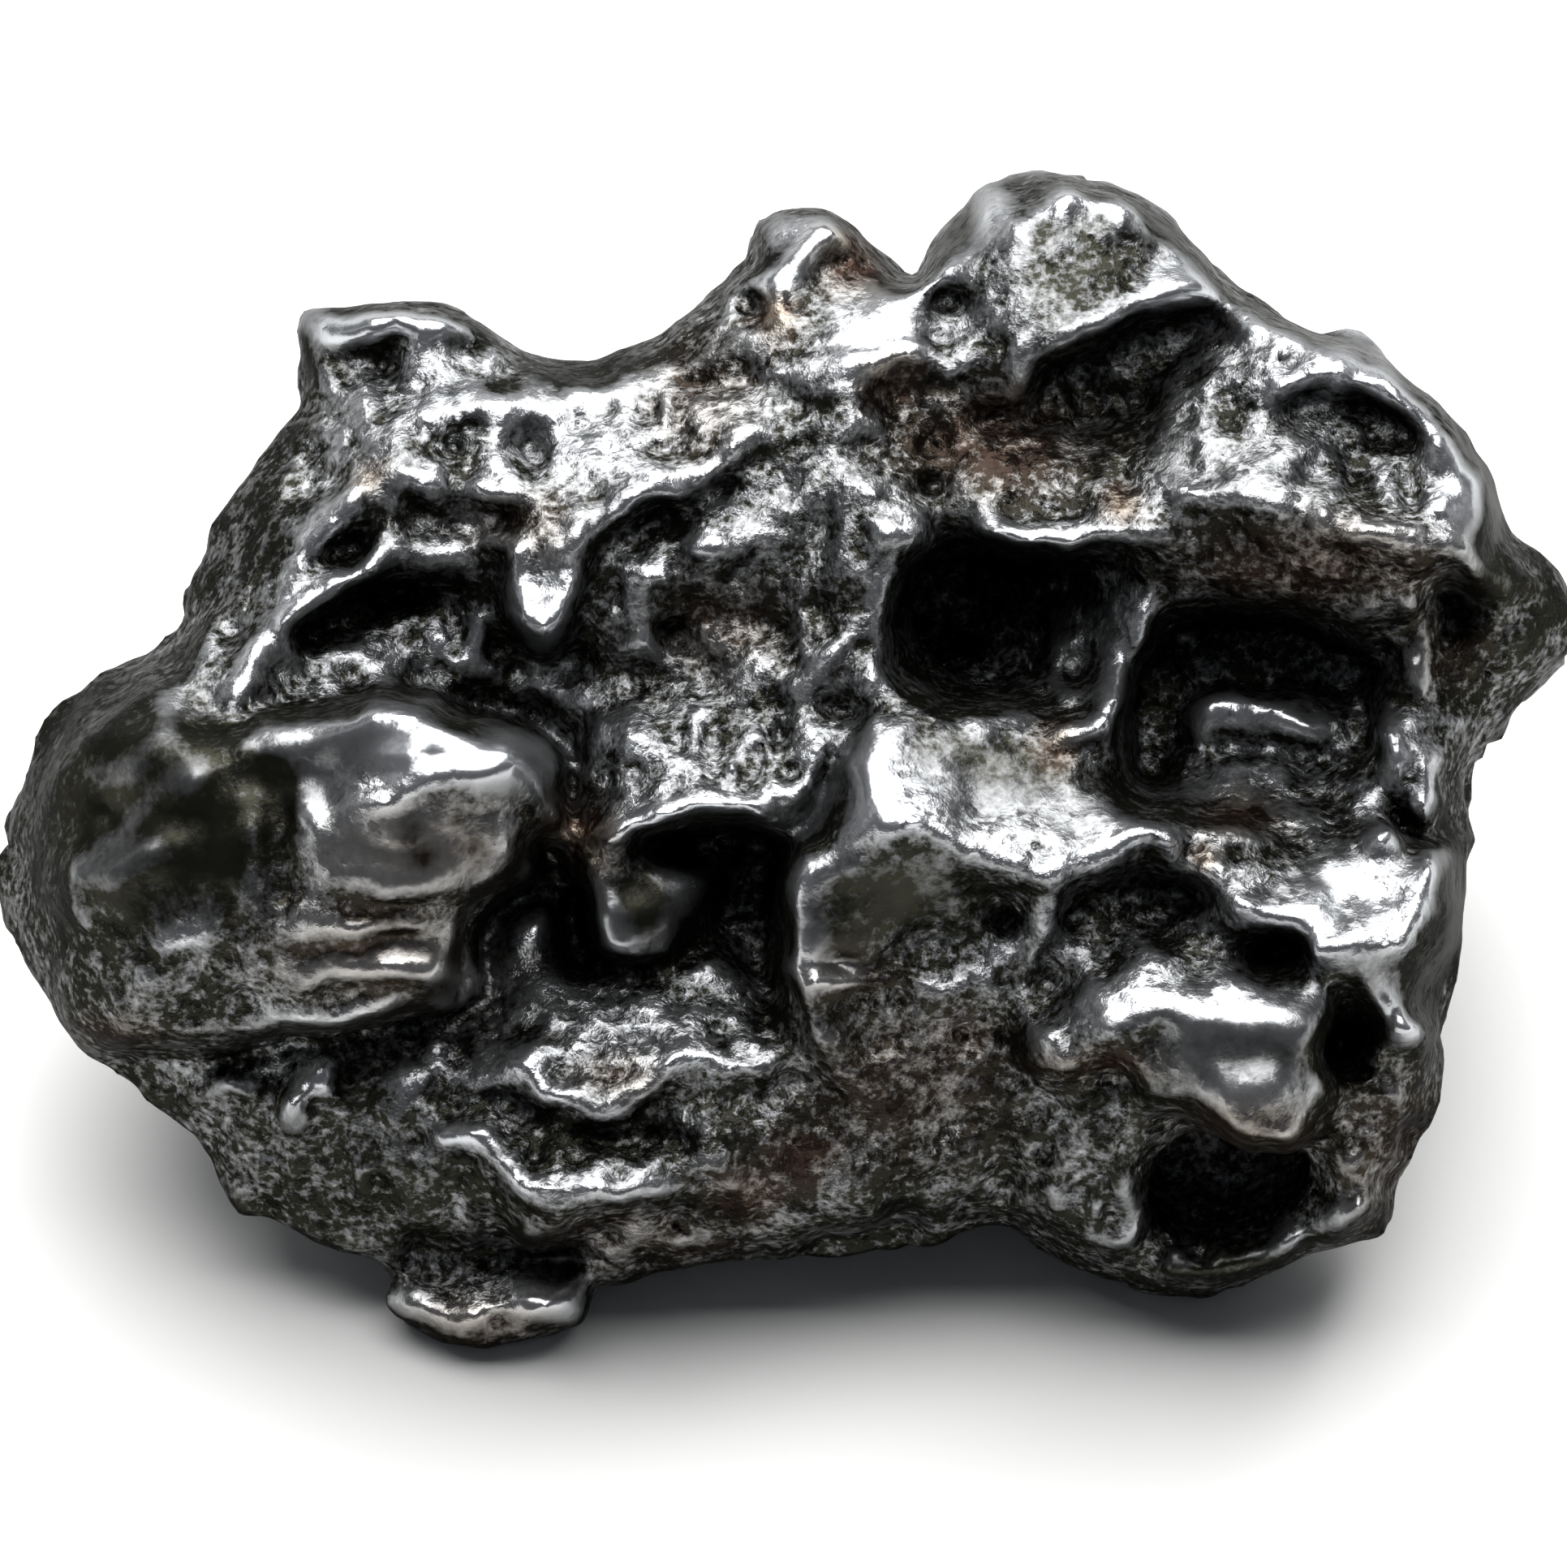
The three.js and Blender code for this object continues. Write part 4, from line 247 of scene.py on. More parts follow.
     (7.6, -0.5, 5.6), (8.1, -0.4, 5.4)],
    [(3.2, 1.5, 5.4), (4.5, 1.3, 5.1), (5.8, 1.2, 4.8), (6.3, 0.6, 4.9), (7.3, 0.3, 5)],
    [(1.3, 1.2, 4.5), (1.05, 0.2, 4.1), (0.9, -0.7, 4.2), (0.35, -1.3, 3.8)],
    [(1.6, 1.2, 5), (1.5, 0, 5.6), (1.4, -1, 6)],
    [(0.5, -1.5, 5.6), (0.8, -2, 6.5)],
    [(1.3, -2.8, 6.3), (2.4, -2.4, 6.5), (3.6, -2.4, 6.4), (4.6, -2.5, 6.1)],
    [(1.1, 1.8, 3.5), (2.2, 1.8, 3.8)],
    # pockets under the ridge
    [(5, -2.6, 5.4), (5.4, -3, 4.7), (5.3, -3.5, 4.9)],
    [(5.9, -2.5, 6.4), (6.1, -3.6, 5.7), (6.6, -3.1, 6), (7, -2.6, 6.2)],
    [(7, -3.2, 4.8), (7.8, -2.7, 4.9)],
    [(8.5, -2.4, 4.6), (9.3, -2.5, 4.1), (10.1, -2.7, 4.2), (9.6, -3.1, 4.5)],
    [(7.2, -3.8, 5), (8.4, -3.6, 5), (9.6, -3.7, 5.1), (10.4, -3.3, 5.5)],
    [(6.4, -5, 4.6), (7.2, -4.9, 5.2), (7.6, -4.5, 5.6)],
    # bright facet right of the ridge
    [(9, -1.35, 6.5), (9.6, -1.65, 6.4), (10.2, -2, 6.4), (10.7, -2.5, 6.6), (11.3, -3, 6.9),
     (12, -3.4, 7.1), (12.8, -3.6, 7.2), (13.1, -4.2, 7.4), (13.5, -4.2, 7.4), (14.2, -4.05, 7.3),
     (15, -3.95, 7.1), (15.3, -3.6, 6.9), (15.6, -2.6, 6.4), (15.85, -1.9, 6), (15.8, -1.5, 5.8)],
    [(9, -1, 5.7), (10, -0.95, 5.5), (11, -1.2, 5.4), (11.6, -1.6, 5.4), (12.6, -2, 5.5),
     (13.5, -1.9, 5.5), (14.3, -1.9, 5.6), (15.2, -1.4, 5.6)],
    [(14.5, -1.4, 6), (14.9, -1.25, 5.9)],
    [(11.2, -2, 6), (12, -2.6, 6.3), (12.8, -3, 6.6)],
    [(13.6, -2.7, 5.9), (14.6, -2.7, 5.9)],
    [(10.8, -3.7, 5.6), (11.2, -4.5, 5.7)],
    [(11.6, -4.4, 4.4), (12.2, -4, 4), (12.8, -4, 4.2)],
    [(16.3, -1.6, 4), (16.5, -2.8, 3.8), (16.4, -4.2, 3.8)],
    [(13.2, -4.7, 6.5), (14.2, -4.9, 6.5), (14.7, -5.4, 6.3), (15.1, -5.9, 6.1), (15.5, -6.25, 5.8),
     (15.95, -5.8, 5.2)],
    [(13.8, -5.3, 4.2), (13.75, -6, 2.6), (13.75, -6.8, 2.4)],
    [(14.3, -5.7, 4.2), (14.7, -6.1, 4.6)],
    [(14.3, -6.4, 4.6), (15, -6.6, 4.7), (15.7, -6.6, 4.2)],
    # tongue
    [(7.1, -6.05, 6.5), (7.7, -5.4, 6.6), (8.2, -4.8, 6.5), (8.7, -4.5, 6.4), (9.3, -4.45, 6.4),
     (9.8, -4.85, 6.7), (10.6, -4.95, 6.8), (11.4, -4.85, 6.7), (12, -5.15, 6.8), (12.5, -5.3, 6.8),
     (13, -5.1, 6.6), (13.3, -5.9, 6.5), (13.35, -7, 6.5), (13, -7.9, 6.6), (12.3, -8.55, 6.8),
     (11.6, -8.75, 6.9), (11, -8.5, 7), (10.3, -8, 7), (9.9, -7.65, 6.9), (9.1, -7.5, 6.6),
     (8.9, -7, 6.6), (8.1, -6.75, 6.4), (7.4, -6.75, 6.2), (6.7, -6.95, 6), (6.1, -6.9, 5.8)],
    [(7.6, -6, 7), (8.4, -5.8, 7.2), (9.4, -5.5, 7.3), (10.6, -5.6, 7.6), (12, -5.8, 7.6),
     (12.9, -6.2, 7.3)],
    [(8.4, -5.2, 6.8), (8.9, -5.1, 6.8)],
    [(9.8, -6.8, 7.3), (10.8, -6.7, 7.5), (11.8, -6.8, 7.5)],
    [(10.5, -7.5, 7.6), (11.5, -7.55, 7.8), (12.4, -7.4, 7.6)],
    [(6.2, -6.2, 5.9), (6.9, -6.3, 6.4)],
    [(5.9, -7.2, 4.8), (7, -7.35, 4.8), (8.2, -7.2, 4.9), (8.6, -7.9, 4.8), (9.6, -8.2, 3.6),
     (10.4, -8.7, 2.4), (11.6, -9.2, 2), (12.6, -9, 2.8), (13.4, -8.4, 4), (13.8, -7.3, 4.6)],
    # bowl and the right lump
    [(7.6, -8.8, 4.5), (8.5, -8.7, 4.3), (8.6, -9.6, 3.8), (8.2, -10.6, 3.1), (8.3, -11.4, 2.3)],
    [(9.5, -9.5, 0.8), (10.5, -9.9, -0.1), (11.7, -9.8, 0.2)],
    [(9.2, -10.8, 1), (10.4, -10.9, 0.2), (11.8, -10.7, 0.5)],
    [(9.5, -12, 1.9), (10.3, -12.05, 2.1), (11.2, -11.95, 2.1), (12, -11.65, 2.3), (12.6, -11.2, 2.6)],
    [(12.6, -10.2, 2), (12.8, -9.5, 2.4)],
    [(7.2, -11.3, 2), (7.8, -11.5, 2.1)],
    [(6.6, -9.8, 3.3), (7, -10.6, 2.8)],
    [(14.2, -7.8, 4.5), (15.2, -7.7, 4.1)],
    [(13.6, -9.2, 3.9), (14.6, -9.2, 3.8), (14.2, -10.4, 3.5), (13.4, -11, 2.9)],
    # first cavity
    [(3.1, 5.95, 4.4), (2.7, 5.3, 4.4), (2.45, 4.6, 4.4), (2.3, 3.9, 4.3), (2.1, 3.2, 4.4),
     (2.7, 2.3, 4.8), (3, 1.85, 5.1), (4.5, 1.75, 4.6), (5.7, 1.7, 4.3)],
    [(3.3, 5.3, 0.6), (3.2, 4.4, 0), (3, 3.6, 0.8), (3.4, 2.8, 1.2), (4.2, 2.4, 1.6), (5.4, 2.3, 1.2),
     (6.2, 2.4, 1.4)],
    [(4, 4.9, -1.8), (4.2, 4, -2.2), (4.8, 3.2, -1.8)],
    [(5.4, 5, -1.8), (5.4, 4.2, -2), (6.6, 4.8, -0.8), (7.2, 5.2, 0.6)],
    [(6, 3.5, -0.3), (6.5, 3.3, 0.1)],
    [(7, 4.2, 0.6), (7.2, 3.2, 1.4), (7.4, 2.7, 2)],
    [(8.2, 5.2, 2.6), (8, 4.3, 2.2), (8.2, 3.3, 2.6)],
    [(9.2, 5, 3.6), (9, 4.2, 3.4), (8.7, 3.3, 3)],
    [(6.05, 1.35, 4.6), (7, 1.45, 4.8), (7.8, 1.45, 5), (8.05, 1.9, 5), (8.2, 2.45, 4.8)],
    [(6.7, 1.7, 3.6), (7.3, 2.2, 3.2), (7.7, 1.9, 3.9)],
    # ledge over it and the recess behind
    [(4.5, 6.45, 4.3), (4.8, 6.1, 4.6), (5.5, 6, 4.7), (6.2, 5.85, 4.7), (7, 6, 4.7), (8, 6.1, 4.9),
     (9.3, 6, 5)],
    [(4.4, 5.6, 0.4), (5.4, 5.5, -0.4), (6.6, 5.5, 0.4), (7.8, 5.6, 2.4), (8.6, 5.6, 3.6)],
    [(5.1, 6.7, 3.9), (6.2, 6.55, 3.8), (7.3, 6.8, 4)],
    [(4.4, 7.2, 3.9), (5.8, 7.2, 3.9), (7.2, 7.3, 3.9), (8.4, 7.2, 4.2)],
    [(3.8, 6.7, 3.4), (3.6, 7.6, 3.2), (3.4, 8.6, 2.9)],
    [(4.2, 8.8, 2.8), (5.4, 9, 2.4), (6.3, 8.6, 2.4)],
    [(5, 7.9, 3.6), (6.4, 7.9, 3.5)],
    [(7.2, 8.7, 1.6), (7.7, 9.4, 0.7), (8.7, 9.4, 0.8)],
    [(8.9, 8.6, 2.2), (8.6, 7.9, 3.2)],
    [(9.2, 10.3, 1.1), (10, 10.9, 1)],
    [(5.9, 9.9, 3.5), (6.3, 10.7, 3.7), (7.2, 11.05, 3.7), (7.9, 11.2, 3.5), (8.4, 11.65, 3.2),
     (9, 11.75, 3.1), (9.8, 11.95, 2.8), (10.8, 12, 2.1)],
    [(6.5, 9.9, 1.7), (6.9, 10.5, 1.4), (7.8, 10.7, 1.1), (8.8, 11.2, 1), (9.8, 11.5, 1.1),
     (10.7, 11.5, 1)],
    # top facet
    [(6.1, 10.8, 3.7), (5.8, 11.6, 3.4), (5.5, 12.6, 3), (5.5, 13.6, 2.6), (6.2, 14.2, 2.3), (7, 14.6, 2),
     (8.1, 14.5, 1.9), (9, 14.2, 1.6)],
    [(8.5, 12.1, 2.9), (8.8, 13, 2.5), (9, 13.9, 1.9)],
    [(7, 12.4, 3.1), (7.2, 13.4, 2.7)],
    [(4.2, 13.1, 1.1), (4.6, 14, 0.8), (5.2, 14.5, 0.9)],
    [(4.9, 13, 2.2), (5, 12, 2.8)],
    [(9.1, 12.3, 3.1), (9.9, 12.25, 2.9), (10.6, 12.2, 2.4)],
    [(9.2, 13, 2.4), (10, 13, 1.9), (10.5, 12.9, 1.2)],
    [(9.5, 13.7, 1.5), (10, 13.5, 1.2)],
    # pocket and white ridge left of the facet
    [(3.3, 12.1, 2.5), (3.7, 12.35, 2.4), (4.2, 12.45, 2.3), (4.7, 12.2, 2.5), (5, 11.4, 2.9)],
    [(3.7, 11.9, 1.6), (4.2, 12, 1.5), (4.6, 11.8, 1.8)],
    [(3.4, 11.2, 2.3), (4, 10.9, 2.7), (4.6, 10.7, 3), (5.3, 10.4, 3.1)],
    [(3.8, 12.9, 1.5), (4.4, 12.9, 1.6)],
    [(1.4, 9.7, 3.8), (1.5, 10.3, 3.7), (2.2, 10.4, 3.6), (3.2, 10.5, 3.4), (4.1, 10.4, 3.3)],
    [(1.6, 11.1, 2.8), (2.3, 11.8, 2.3), (3, 12.1, 2.2)],
    [(2.4, 9.9, 2.9), (2.7, 9.3, 2.5), (3.4, 9.9, 2.6)],
    [(1.6, 9.2, 3.8), (1.9, 8.3, 3.8), (2.4, 7.8, 3.8)],
    [(0.5, 9.8, 3.1), (0.6, 8.8, 3.4), (1.2, 8.1, 3.8)],
    [(2.1, 7.1, 4.7), (2.3, 6.4, 4.6), (2.4, 5.8, 4.9), (3.3, 6.3, 4.5)],
    # second nub
    [(-0.6, 12.3, 1.6), (0, 12.6, 1.8), (0.6, 13, 1.7), (0.9, 13.5, 1.4), (1.1, 14.1, 0.6)],
    [(-0.3, 13.3, 0.6), (0.3, 13.9, 0.2)],
    [(0.6, 12.3, 1.2), (1.2, 12.7, 1), (1.5, 13.3, 0.7)],
    [(2, 12.4, 0.6), (2.1, 13.1, 0)],
    [(-0.7, 11.3, 1.9), (0.3, 11.2, 2.2), (1.2, 11.1, 2.6)],
    [(0.6, 11.9, 1.6), (1.6, 11.8, 1.6)],
    [(-1.5, 11.3, 1), (-2.2, 10.6, 1.2), (-3, 10.1, 1.4), (-4, 9.9, 1.6), (-5.2, 9.8, 1.8)],
    [(-1.6, 9.8, 2.2), (-0.7, 9.9, 2.4)],
    # saddle slope and the middle ridge
    [(-5, 8, 3.2), (-4, 8.3, 3), (-3, 8.8, 2.7)],
    [(-6.6, 5.7, 4.6), (-5.5, 5.6, 4.8), (-4.8, 5.9, 4.8), (-4.2, 6.4, 4.7), (-3.6, 6.9, 4.6),
     (-3, 7.4, 4.4), (-2.4, 7.5, 4.3), (-1.8, 7.7, 4.2), (-1.2, 8.1, 4), (-0.6, 8.5, 3.8),
     (-0.2, 8.8, 3.5)],
    [(-4.5, 5.4, 3.4), (-3.9, 5.9, 3.1), (-3.3, 6.5, 2.9), (-2.6, 6.9, 3.1), (-1.6, 7.3, 3.3),
     (-0.8, 7.8, 3.3), (-0.1, 8.2, 3.2)],
    [(-6.5, 5.2, 4.6), (-6.45, 4.3, 4.8), (-6.3, 3.7, 4.8), (-6, 3.45, 4.7), (-5.6, 3.9, 4.9),
     (-5.3, 4.4, 4.9), (-5.15, 5, 4.8)],
    [(-5.9, 4.7, 4.3), (-6, 4.2, 4.4)],
    [(-7.1, 5, 2.7), (-6.95, 4, 2.2), (-6.6, 3.2, 1.6), (-5.9, 2.85, 1.5), (-5.1, 3.4, 2),
     (-4.8, 4.3, 2.7), (-4.75, 5, 3.1)],
    # rough middle
    [(-3.8, 5.2, 3.5), (-3, 5, 3.9)],
    [(-4.4, 3.6, 2.8), (-3.4, 3.5, 3.2)],
    [(-4.4, 2.4, 2.2), (-3, 2.7, 2.4), (-1.8, 2.8, 2.6)],
    [(-3, 4.1, 2.8), (-1.6, 4.1, 2.9), (-0.5, 4, 3)],
    [(-2.3, 5.6, 4), (-1.5, 5.9, 4), (-0.4, 6.3, 4)],
    [(-1.2, 5.2, 3.2), (0.2, 5.3, 3.4), (0.7, 6.1, 3.6)],
    [(0.3, 2.3, 4.2), (0.8, 2.7, 4.6), (1.1, 3.2, 4.8), (1.3, 3.6, 4.6)],
    [(1.3, 2.4, 4), (1.7, 3.4, 4.3)],
    [(0.2, 3.4, 3.4), (0.6, 4.3, 3.6), (1.4, 4.9, 4.2), (1.6, 5.8, 4.4)],
    [(-0.2, 7.2, 3.6), (0.8, 7.1, 3.9), (1.4, 6.6, 4.2)],
    # central shelf
    [(-4.2, -1.6, 5), (-3.8, -1.2, 5.2), (-3.3, -1, 5.3), (-2.6, -0.8, 5.4), (-2, -0.75, 5.4),
     (-1.4, -0.65, 5.4), (-0.8, -0.75, 5.4), (-0.2, -0.95, 5.3), (0.1, -0.9, 5.3), (0.4, -0.4, 5.3),
     (0.7, 0.2, 5.3), (1, 0.8, 5.2), (1.1, 1.5, 4.9)],
    [(-3.9, 1.2, 3.9), (-2.6, 1.6, 3.7), (-1.2, 1.9, 3.5), (-0.1, 1.8, 3.7)],
    [(-3.8, 0.2, 4.5), (-2.4, 0.4, 4.5), (-1, 0.5, 4.5), (0.2, 0.5, 4.6)],
    [(-5.6, 1.4, 1.8), (-5, 0.9, 2.6), (-4.6, 0.2, 3.4), (-4.4, -0.6, 3.8)],
    [(-5.2, -1.2, 3.8), (-4.8, -1.3, 3.9)],
    [(-3.4, -1.45, 2.3), (-2.2, -1.3, 1.2), (-1.2, -1.3, 0.6), (-0.4, -1.4, 0.5)],
    [(-4.85, -2.35, 4), (-4.75, -3.3, 3.9), (-4.4, -4.3, 3.7), (-3.6, -4.25, 3.6), (-2.8, -4, 3.5),
     (-2.45, -3.3, 3.4), (-2.15, -2.4, 3.4), (-3.1, -2.1, 3.5), (-4.1, -1.95, 3.9)],
    [(-4, -3.1, 4), (-3.2, -3.1, 3.8)],
    [(-5.2, -2.5, 0.2), (-5.1, -3.4, -0.5), (-4.8, -4.3, -0.3), (-4.2, -4.6, 0.9)],
    [(-1.55, -2.2, 0.5), (-1.4, -3, 0.4), (-1.4, -4, 1.2)],
    [(-6.4, -3.3, 1.5), (-6, -3.2, 1.5), (-5.9, -4.2, 1.3)],
    [(-2, -4, 1.6), (-2.8, -4.6, 1.9)],
    # right mass
    [(11.2, 11.9, 2.1), (12.2, 11.45, 2.7), (13, 11, 3.1), (14, 10.75, 3.2), (14.8, 10.4, 3.4),
     (15.6, 9.8, 3.8), (16.2, 9.2, 4.1), (16.5, 8.5, 4.5), (17, 7.8, 4.7), (17.3, 7.2, 4.6)],
    [(12, 9.5, 4.5), (12.6, 9.8, 4.4), (13.5, 9.9, 4.4), (14.6, 9.8, 4.5), (15.3, 9.4, 4.8),
     (15.8, 8.8, 5.1), (16, 8.2, 5.3)],
    [(12.2, 9.15, 3.4), (13.2, 9.4, 3), (14.3, 9.3, 2.9), (15.1, 8.9, 3.2), (15.5, 8.3, 3.6)],
    [(12.3, 8.6, 4), (13.4, 8.3, 3.8), (14.2, 8.2, 3.8)],
    [(14.3, 8, 4.1), (14.6, 7.6, 4.7), (14.7, 7, 5.3), (15, 6.6, 5.7)],
    [(13.9, 7.9, 3.7), (14.1, 7.2, 4.6), (14.3, 6.8, 5.2)],
    [(15.2, 7.8, 4.2), (15.5, 7, 5.1)],
    [(9.5, 8.9, 3.2), (9.6, 8.1, 4), (9.6, 7.6, 4.6)],
    [(10.5, 9.6, 3.4), (10.4, 8.6, 4.3), (10.5, 7.7, 5)],
    [(10.4, 10.4, 2.4), (11.2, 10.6, 2.9), (11.8, 10.2, 3.7)],
    [(11.4, 9, 4), (11.6, 8.2, 4.7), (12.4, 7.6, 5.4)],
    [(9.3, 7.35, 4.9), (10, 7.25, 5.4), (11, 7.05, 5.9), (12, 6.85, 6.1), (12.8, 6.7, 6.2),
     (13.3, 6.3, 6.5), (14, 6.1, 6.7), (15, 5.9, 6.7), (15.5, 6.1, 6.5), (16, 6.3, 6.3), (16.5, 5.7, 6),
     (17.1, 5.1, 5.4)],
    [(16.1, 6.9, 5.9), (16.5, 7.4, 5.4)],
    [(17.2, 6.3, 5.2), (17.6, 6.7, 4.4)],
    [(9.6, 6.6, 4.9), (11, 6.2, 5.1), (12.6, 5.8, 5.4), (14, 5.4, 5.5), (15.3, 5.2, 5.4),
     (16.1, 5.1, 5.3)],
    [(9.7, 5.4, 4.4), (11.4, 5.4, 4.6), (13.2, 4.8, 4.6), (14.4, 4.4, 4.6), (15.5, 4.3, 4.8)],
    [(9.4, 4.5, 3.7), (10.5, 4.8, 3.7), (12, 4.6, 3.6), (13.4, 4.1, 3.6), (14.3, 3.8, 3.5)],
    # second cavity
    [(8.4, 2.9, 3), (8.3, 2, 3.8), (8.2, 1, 3.5), (8.3, 0.2, 3.4), (8.6, -0.5, 4.2)],
    [(8.9, 2.8, -0.4), (8.9, 1.8, -1.4), (9, 0.8, -1.2), (9.2, 0, 0.6)],
    [(9.7, 3.7, -0.8), (10.8, 3.7, -1), (12.4, 3.5, -1), (13.8, 3.2, -0.8), (14.6, 2.9, -0.2)],
    [(9.6, 2.4, -1.8), (10.8, 2.8, -1.2), (12.4, 2.6, -0.6), (14, 2.3, 0)],
    [(9.8, 1, 0.7), (10.1, 1.6, 1.1), (10.8, 2.05, 1.4), (11.8, 2.15, 1.5), (12.6, 1.95, 1.6),
     (13.2, 1.55, 1.6), (13.5, 1.1, 1.4)],
    [(10.8, 1, 0.9), (11.6, 0.9, 0.8), (12.6, 0.8, 0.9), (13.7, 0.7, 1)],
    [(9.8, 0.4, 1.2), (10.8, 0.3, 1.9), (12, -0.1, 2.4), (13.2, -0.4, 2.8), (14.2, -0.6, 3)],
    [(10.4, -0.6, 3.2), (12, -0.9, 3.8), (13.6, -1.1, 4.2)],
    [(14.3, 1.8, 0.6), (14.4, 0.6, 1.6)],
    [(14.85, 2, 2.8), (14.75, 1, 3.3), (14.9, 0.6, 3.6), (15.3, 0, 3.6), (15.7, -0.6, 3.6),
     (15.9, -0.85, 3.5)],
    [(15.6, 1.3, 3), (16.2, 0.4, 2.9)],
    [(15, -0.9, 1.6), (15.7, -1.25, 1.6), (16.4, -1.15, 1.4)],
    [(15.4, 3.8, 3.2), (15.6, 3.1, 3.1), (15.85, 2.5, 2.9)],
    [(16, 4.6, 1.4), (16.6, 4.6, 1.2), (16.9, 4, 1.4)],
    [(16.4, 3.2, 1.8), (17.1, 3.5, 2), (17.6, 3.7, 1.8)],
    [(16.8, 2.2, 1.6), (17.5, 2.6, 0.9)],
    [(17.7, 4.6, 2.8), (18.2, 5.2, 2.4)],
    [(18.2, 3.6, 1.6), (18.6, 2.7, 1.2)],
    [(18.7, 4.6, 1.1), (18.2, 4.3, 1.4)],
]

# Along the outline: u, v, height of the widest line, width of the rounding in front.
EDGES = [
    (-19, -2, -1, 2.2), (-17, 2, -1, 1.8), (-14.5, 4.5, -1.2, 1.2), (-10, 11, -2.5, 0.6),
    (-5, 10.5, -2.2, 0.7), (0, 14, -2.2, 0.6), (5, 15, -3.4, 0.6), (8.5, 14.5, -3.4, 0.7),
    (13, 11.5, -3, 0.8), (18, 6.7, -1, 1.2), (19, 4, -1.4, 0.8), (17, 0, -1, 0.9), (16.8, -3, -1, 1.1),
    (16.5, -7, -0.4, 1.1), (10, -12.5, -1.1, 1.1), (1, -12, -1.1, 0.9), (-7, -13.8, -1, 0.8),
    (-13, -11, -0.8, 1.1), (-17, -7, -0.4, 1.5),
]
EDGE_SPOTS = [(u, v, w, EDGE_REACH, width) for u, v, w, width in EDGES]

# Hollows cut under the ledges: the two ends of each in u, v, w, then its radius.
UNDERCUTS = [
    ((4, 4.6, -1.4), (5.2, 3.4, -0.8), 1.5), ((10, -9.2, 1), (11.6, -9, 1.4), 1.5),
    ((-7, -3.1, 4), (-7.3, -4.8, 3.2), 0.8),
]

# Thumbprint hollows of the unseen rear and underside: centre x, y, z in place, then radius.
THUMBPRINTS = [
    (-9.5, 14.4, 9.6, 4.2), (-3.4, 14.2, 12.6, 3.6), (3.2, 16, 8.6, 5), (9.6, 15.8, 11.8, 4.4),
    (15.4, 13, 8.4, 4.2), (-14.8, 11, 7.4, 4.2), (-4.2, 13.8, 5, 4), (10.2, 13.6, 5.2, 4),
    (-20.2, 4.4, 5, 4.2), (20.6, 2.6, 4.6, 4.4), (18.6, 9, 13.4, 3.6), (-11, -0.6, -0.9, 3.4),
    (0.4, 1.6, -2.2, 4.6), (11.6, -1.4, -1.2, 3.8), (-18, -6.4, 2.4, 3.4), (19.4, -6, 3, 4),
    (1.8, -7.4, -2.4, 4),
]

# Underside: x, y, height over the resting plane, reach. Below zero it is worn flat.
UNDERSIDE = [
    (-7.5, -9.4, -1.5, 1.7), (10, -8.6, -0.7, 2.1), (-7.4, 5.2, -0.4, 2.1), (6, 7, -0.4, 2.2),
    (1, -8, 0.7, 2.5), (-13, -4, 3, 3), (-17, -1, 5.6, 3), (16, -3, 4, 3), (0, -1, 1.7, 3),
    (5, 1, 1.3, 2.5), (-3.4, 2.6, 1.2, 2.5), (12, 3, 2.4, 2.5), (-13, 4, 3.2, 2.5), (-0.6, 9.4, 1.9, 2.5),
    (13, 8, 4.8, 3), (-13, 8.4, 5.6, 3), (-2, -4.4, 1.6, 2), (6.6, -3, 1.7, 2), (3, -6.4, 1.5, 2),
    (-12, -8, 1.2, 2), (14, -8, 1.4, 2),
]

# Steep rear side: x, z, y, reach.
REAR = [
    (-10, 14.5, 12.3, 2.5), (-5, 14, 11.3, 2.5), (0.5, 16.5, 14, 2), (6, 16.5, 15.4, 2.5),
    (13, 14.5, 12.6, 2.5), (16.5, 13.5, 10.2, 2), (-14.5, 11.5, 7.4, 2.5), (-18, 9.5, 3.8, 2.5),
    (18, 10.5, 6.6, 2.5), (-8, 8, 11.8, 3.5), (0, 9, 12.6, 3.5), (8, 9, 13.2, 3.5), (14, 7, 9.8, 3),
    (-13, 6, 8, 3), (-8, 3, 8.8, 2.5), (0, 3, 9.6, 3), (8, 3, 9.4, 2.5), (15, 3, 6.6, 2.5),
    (-16, 4, 4.2, 2.5),
]

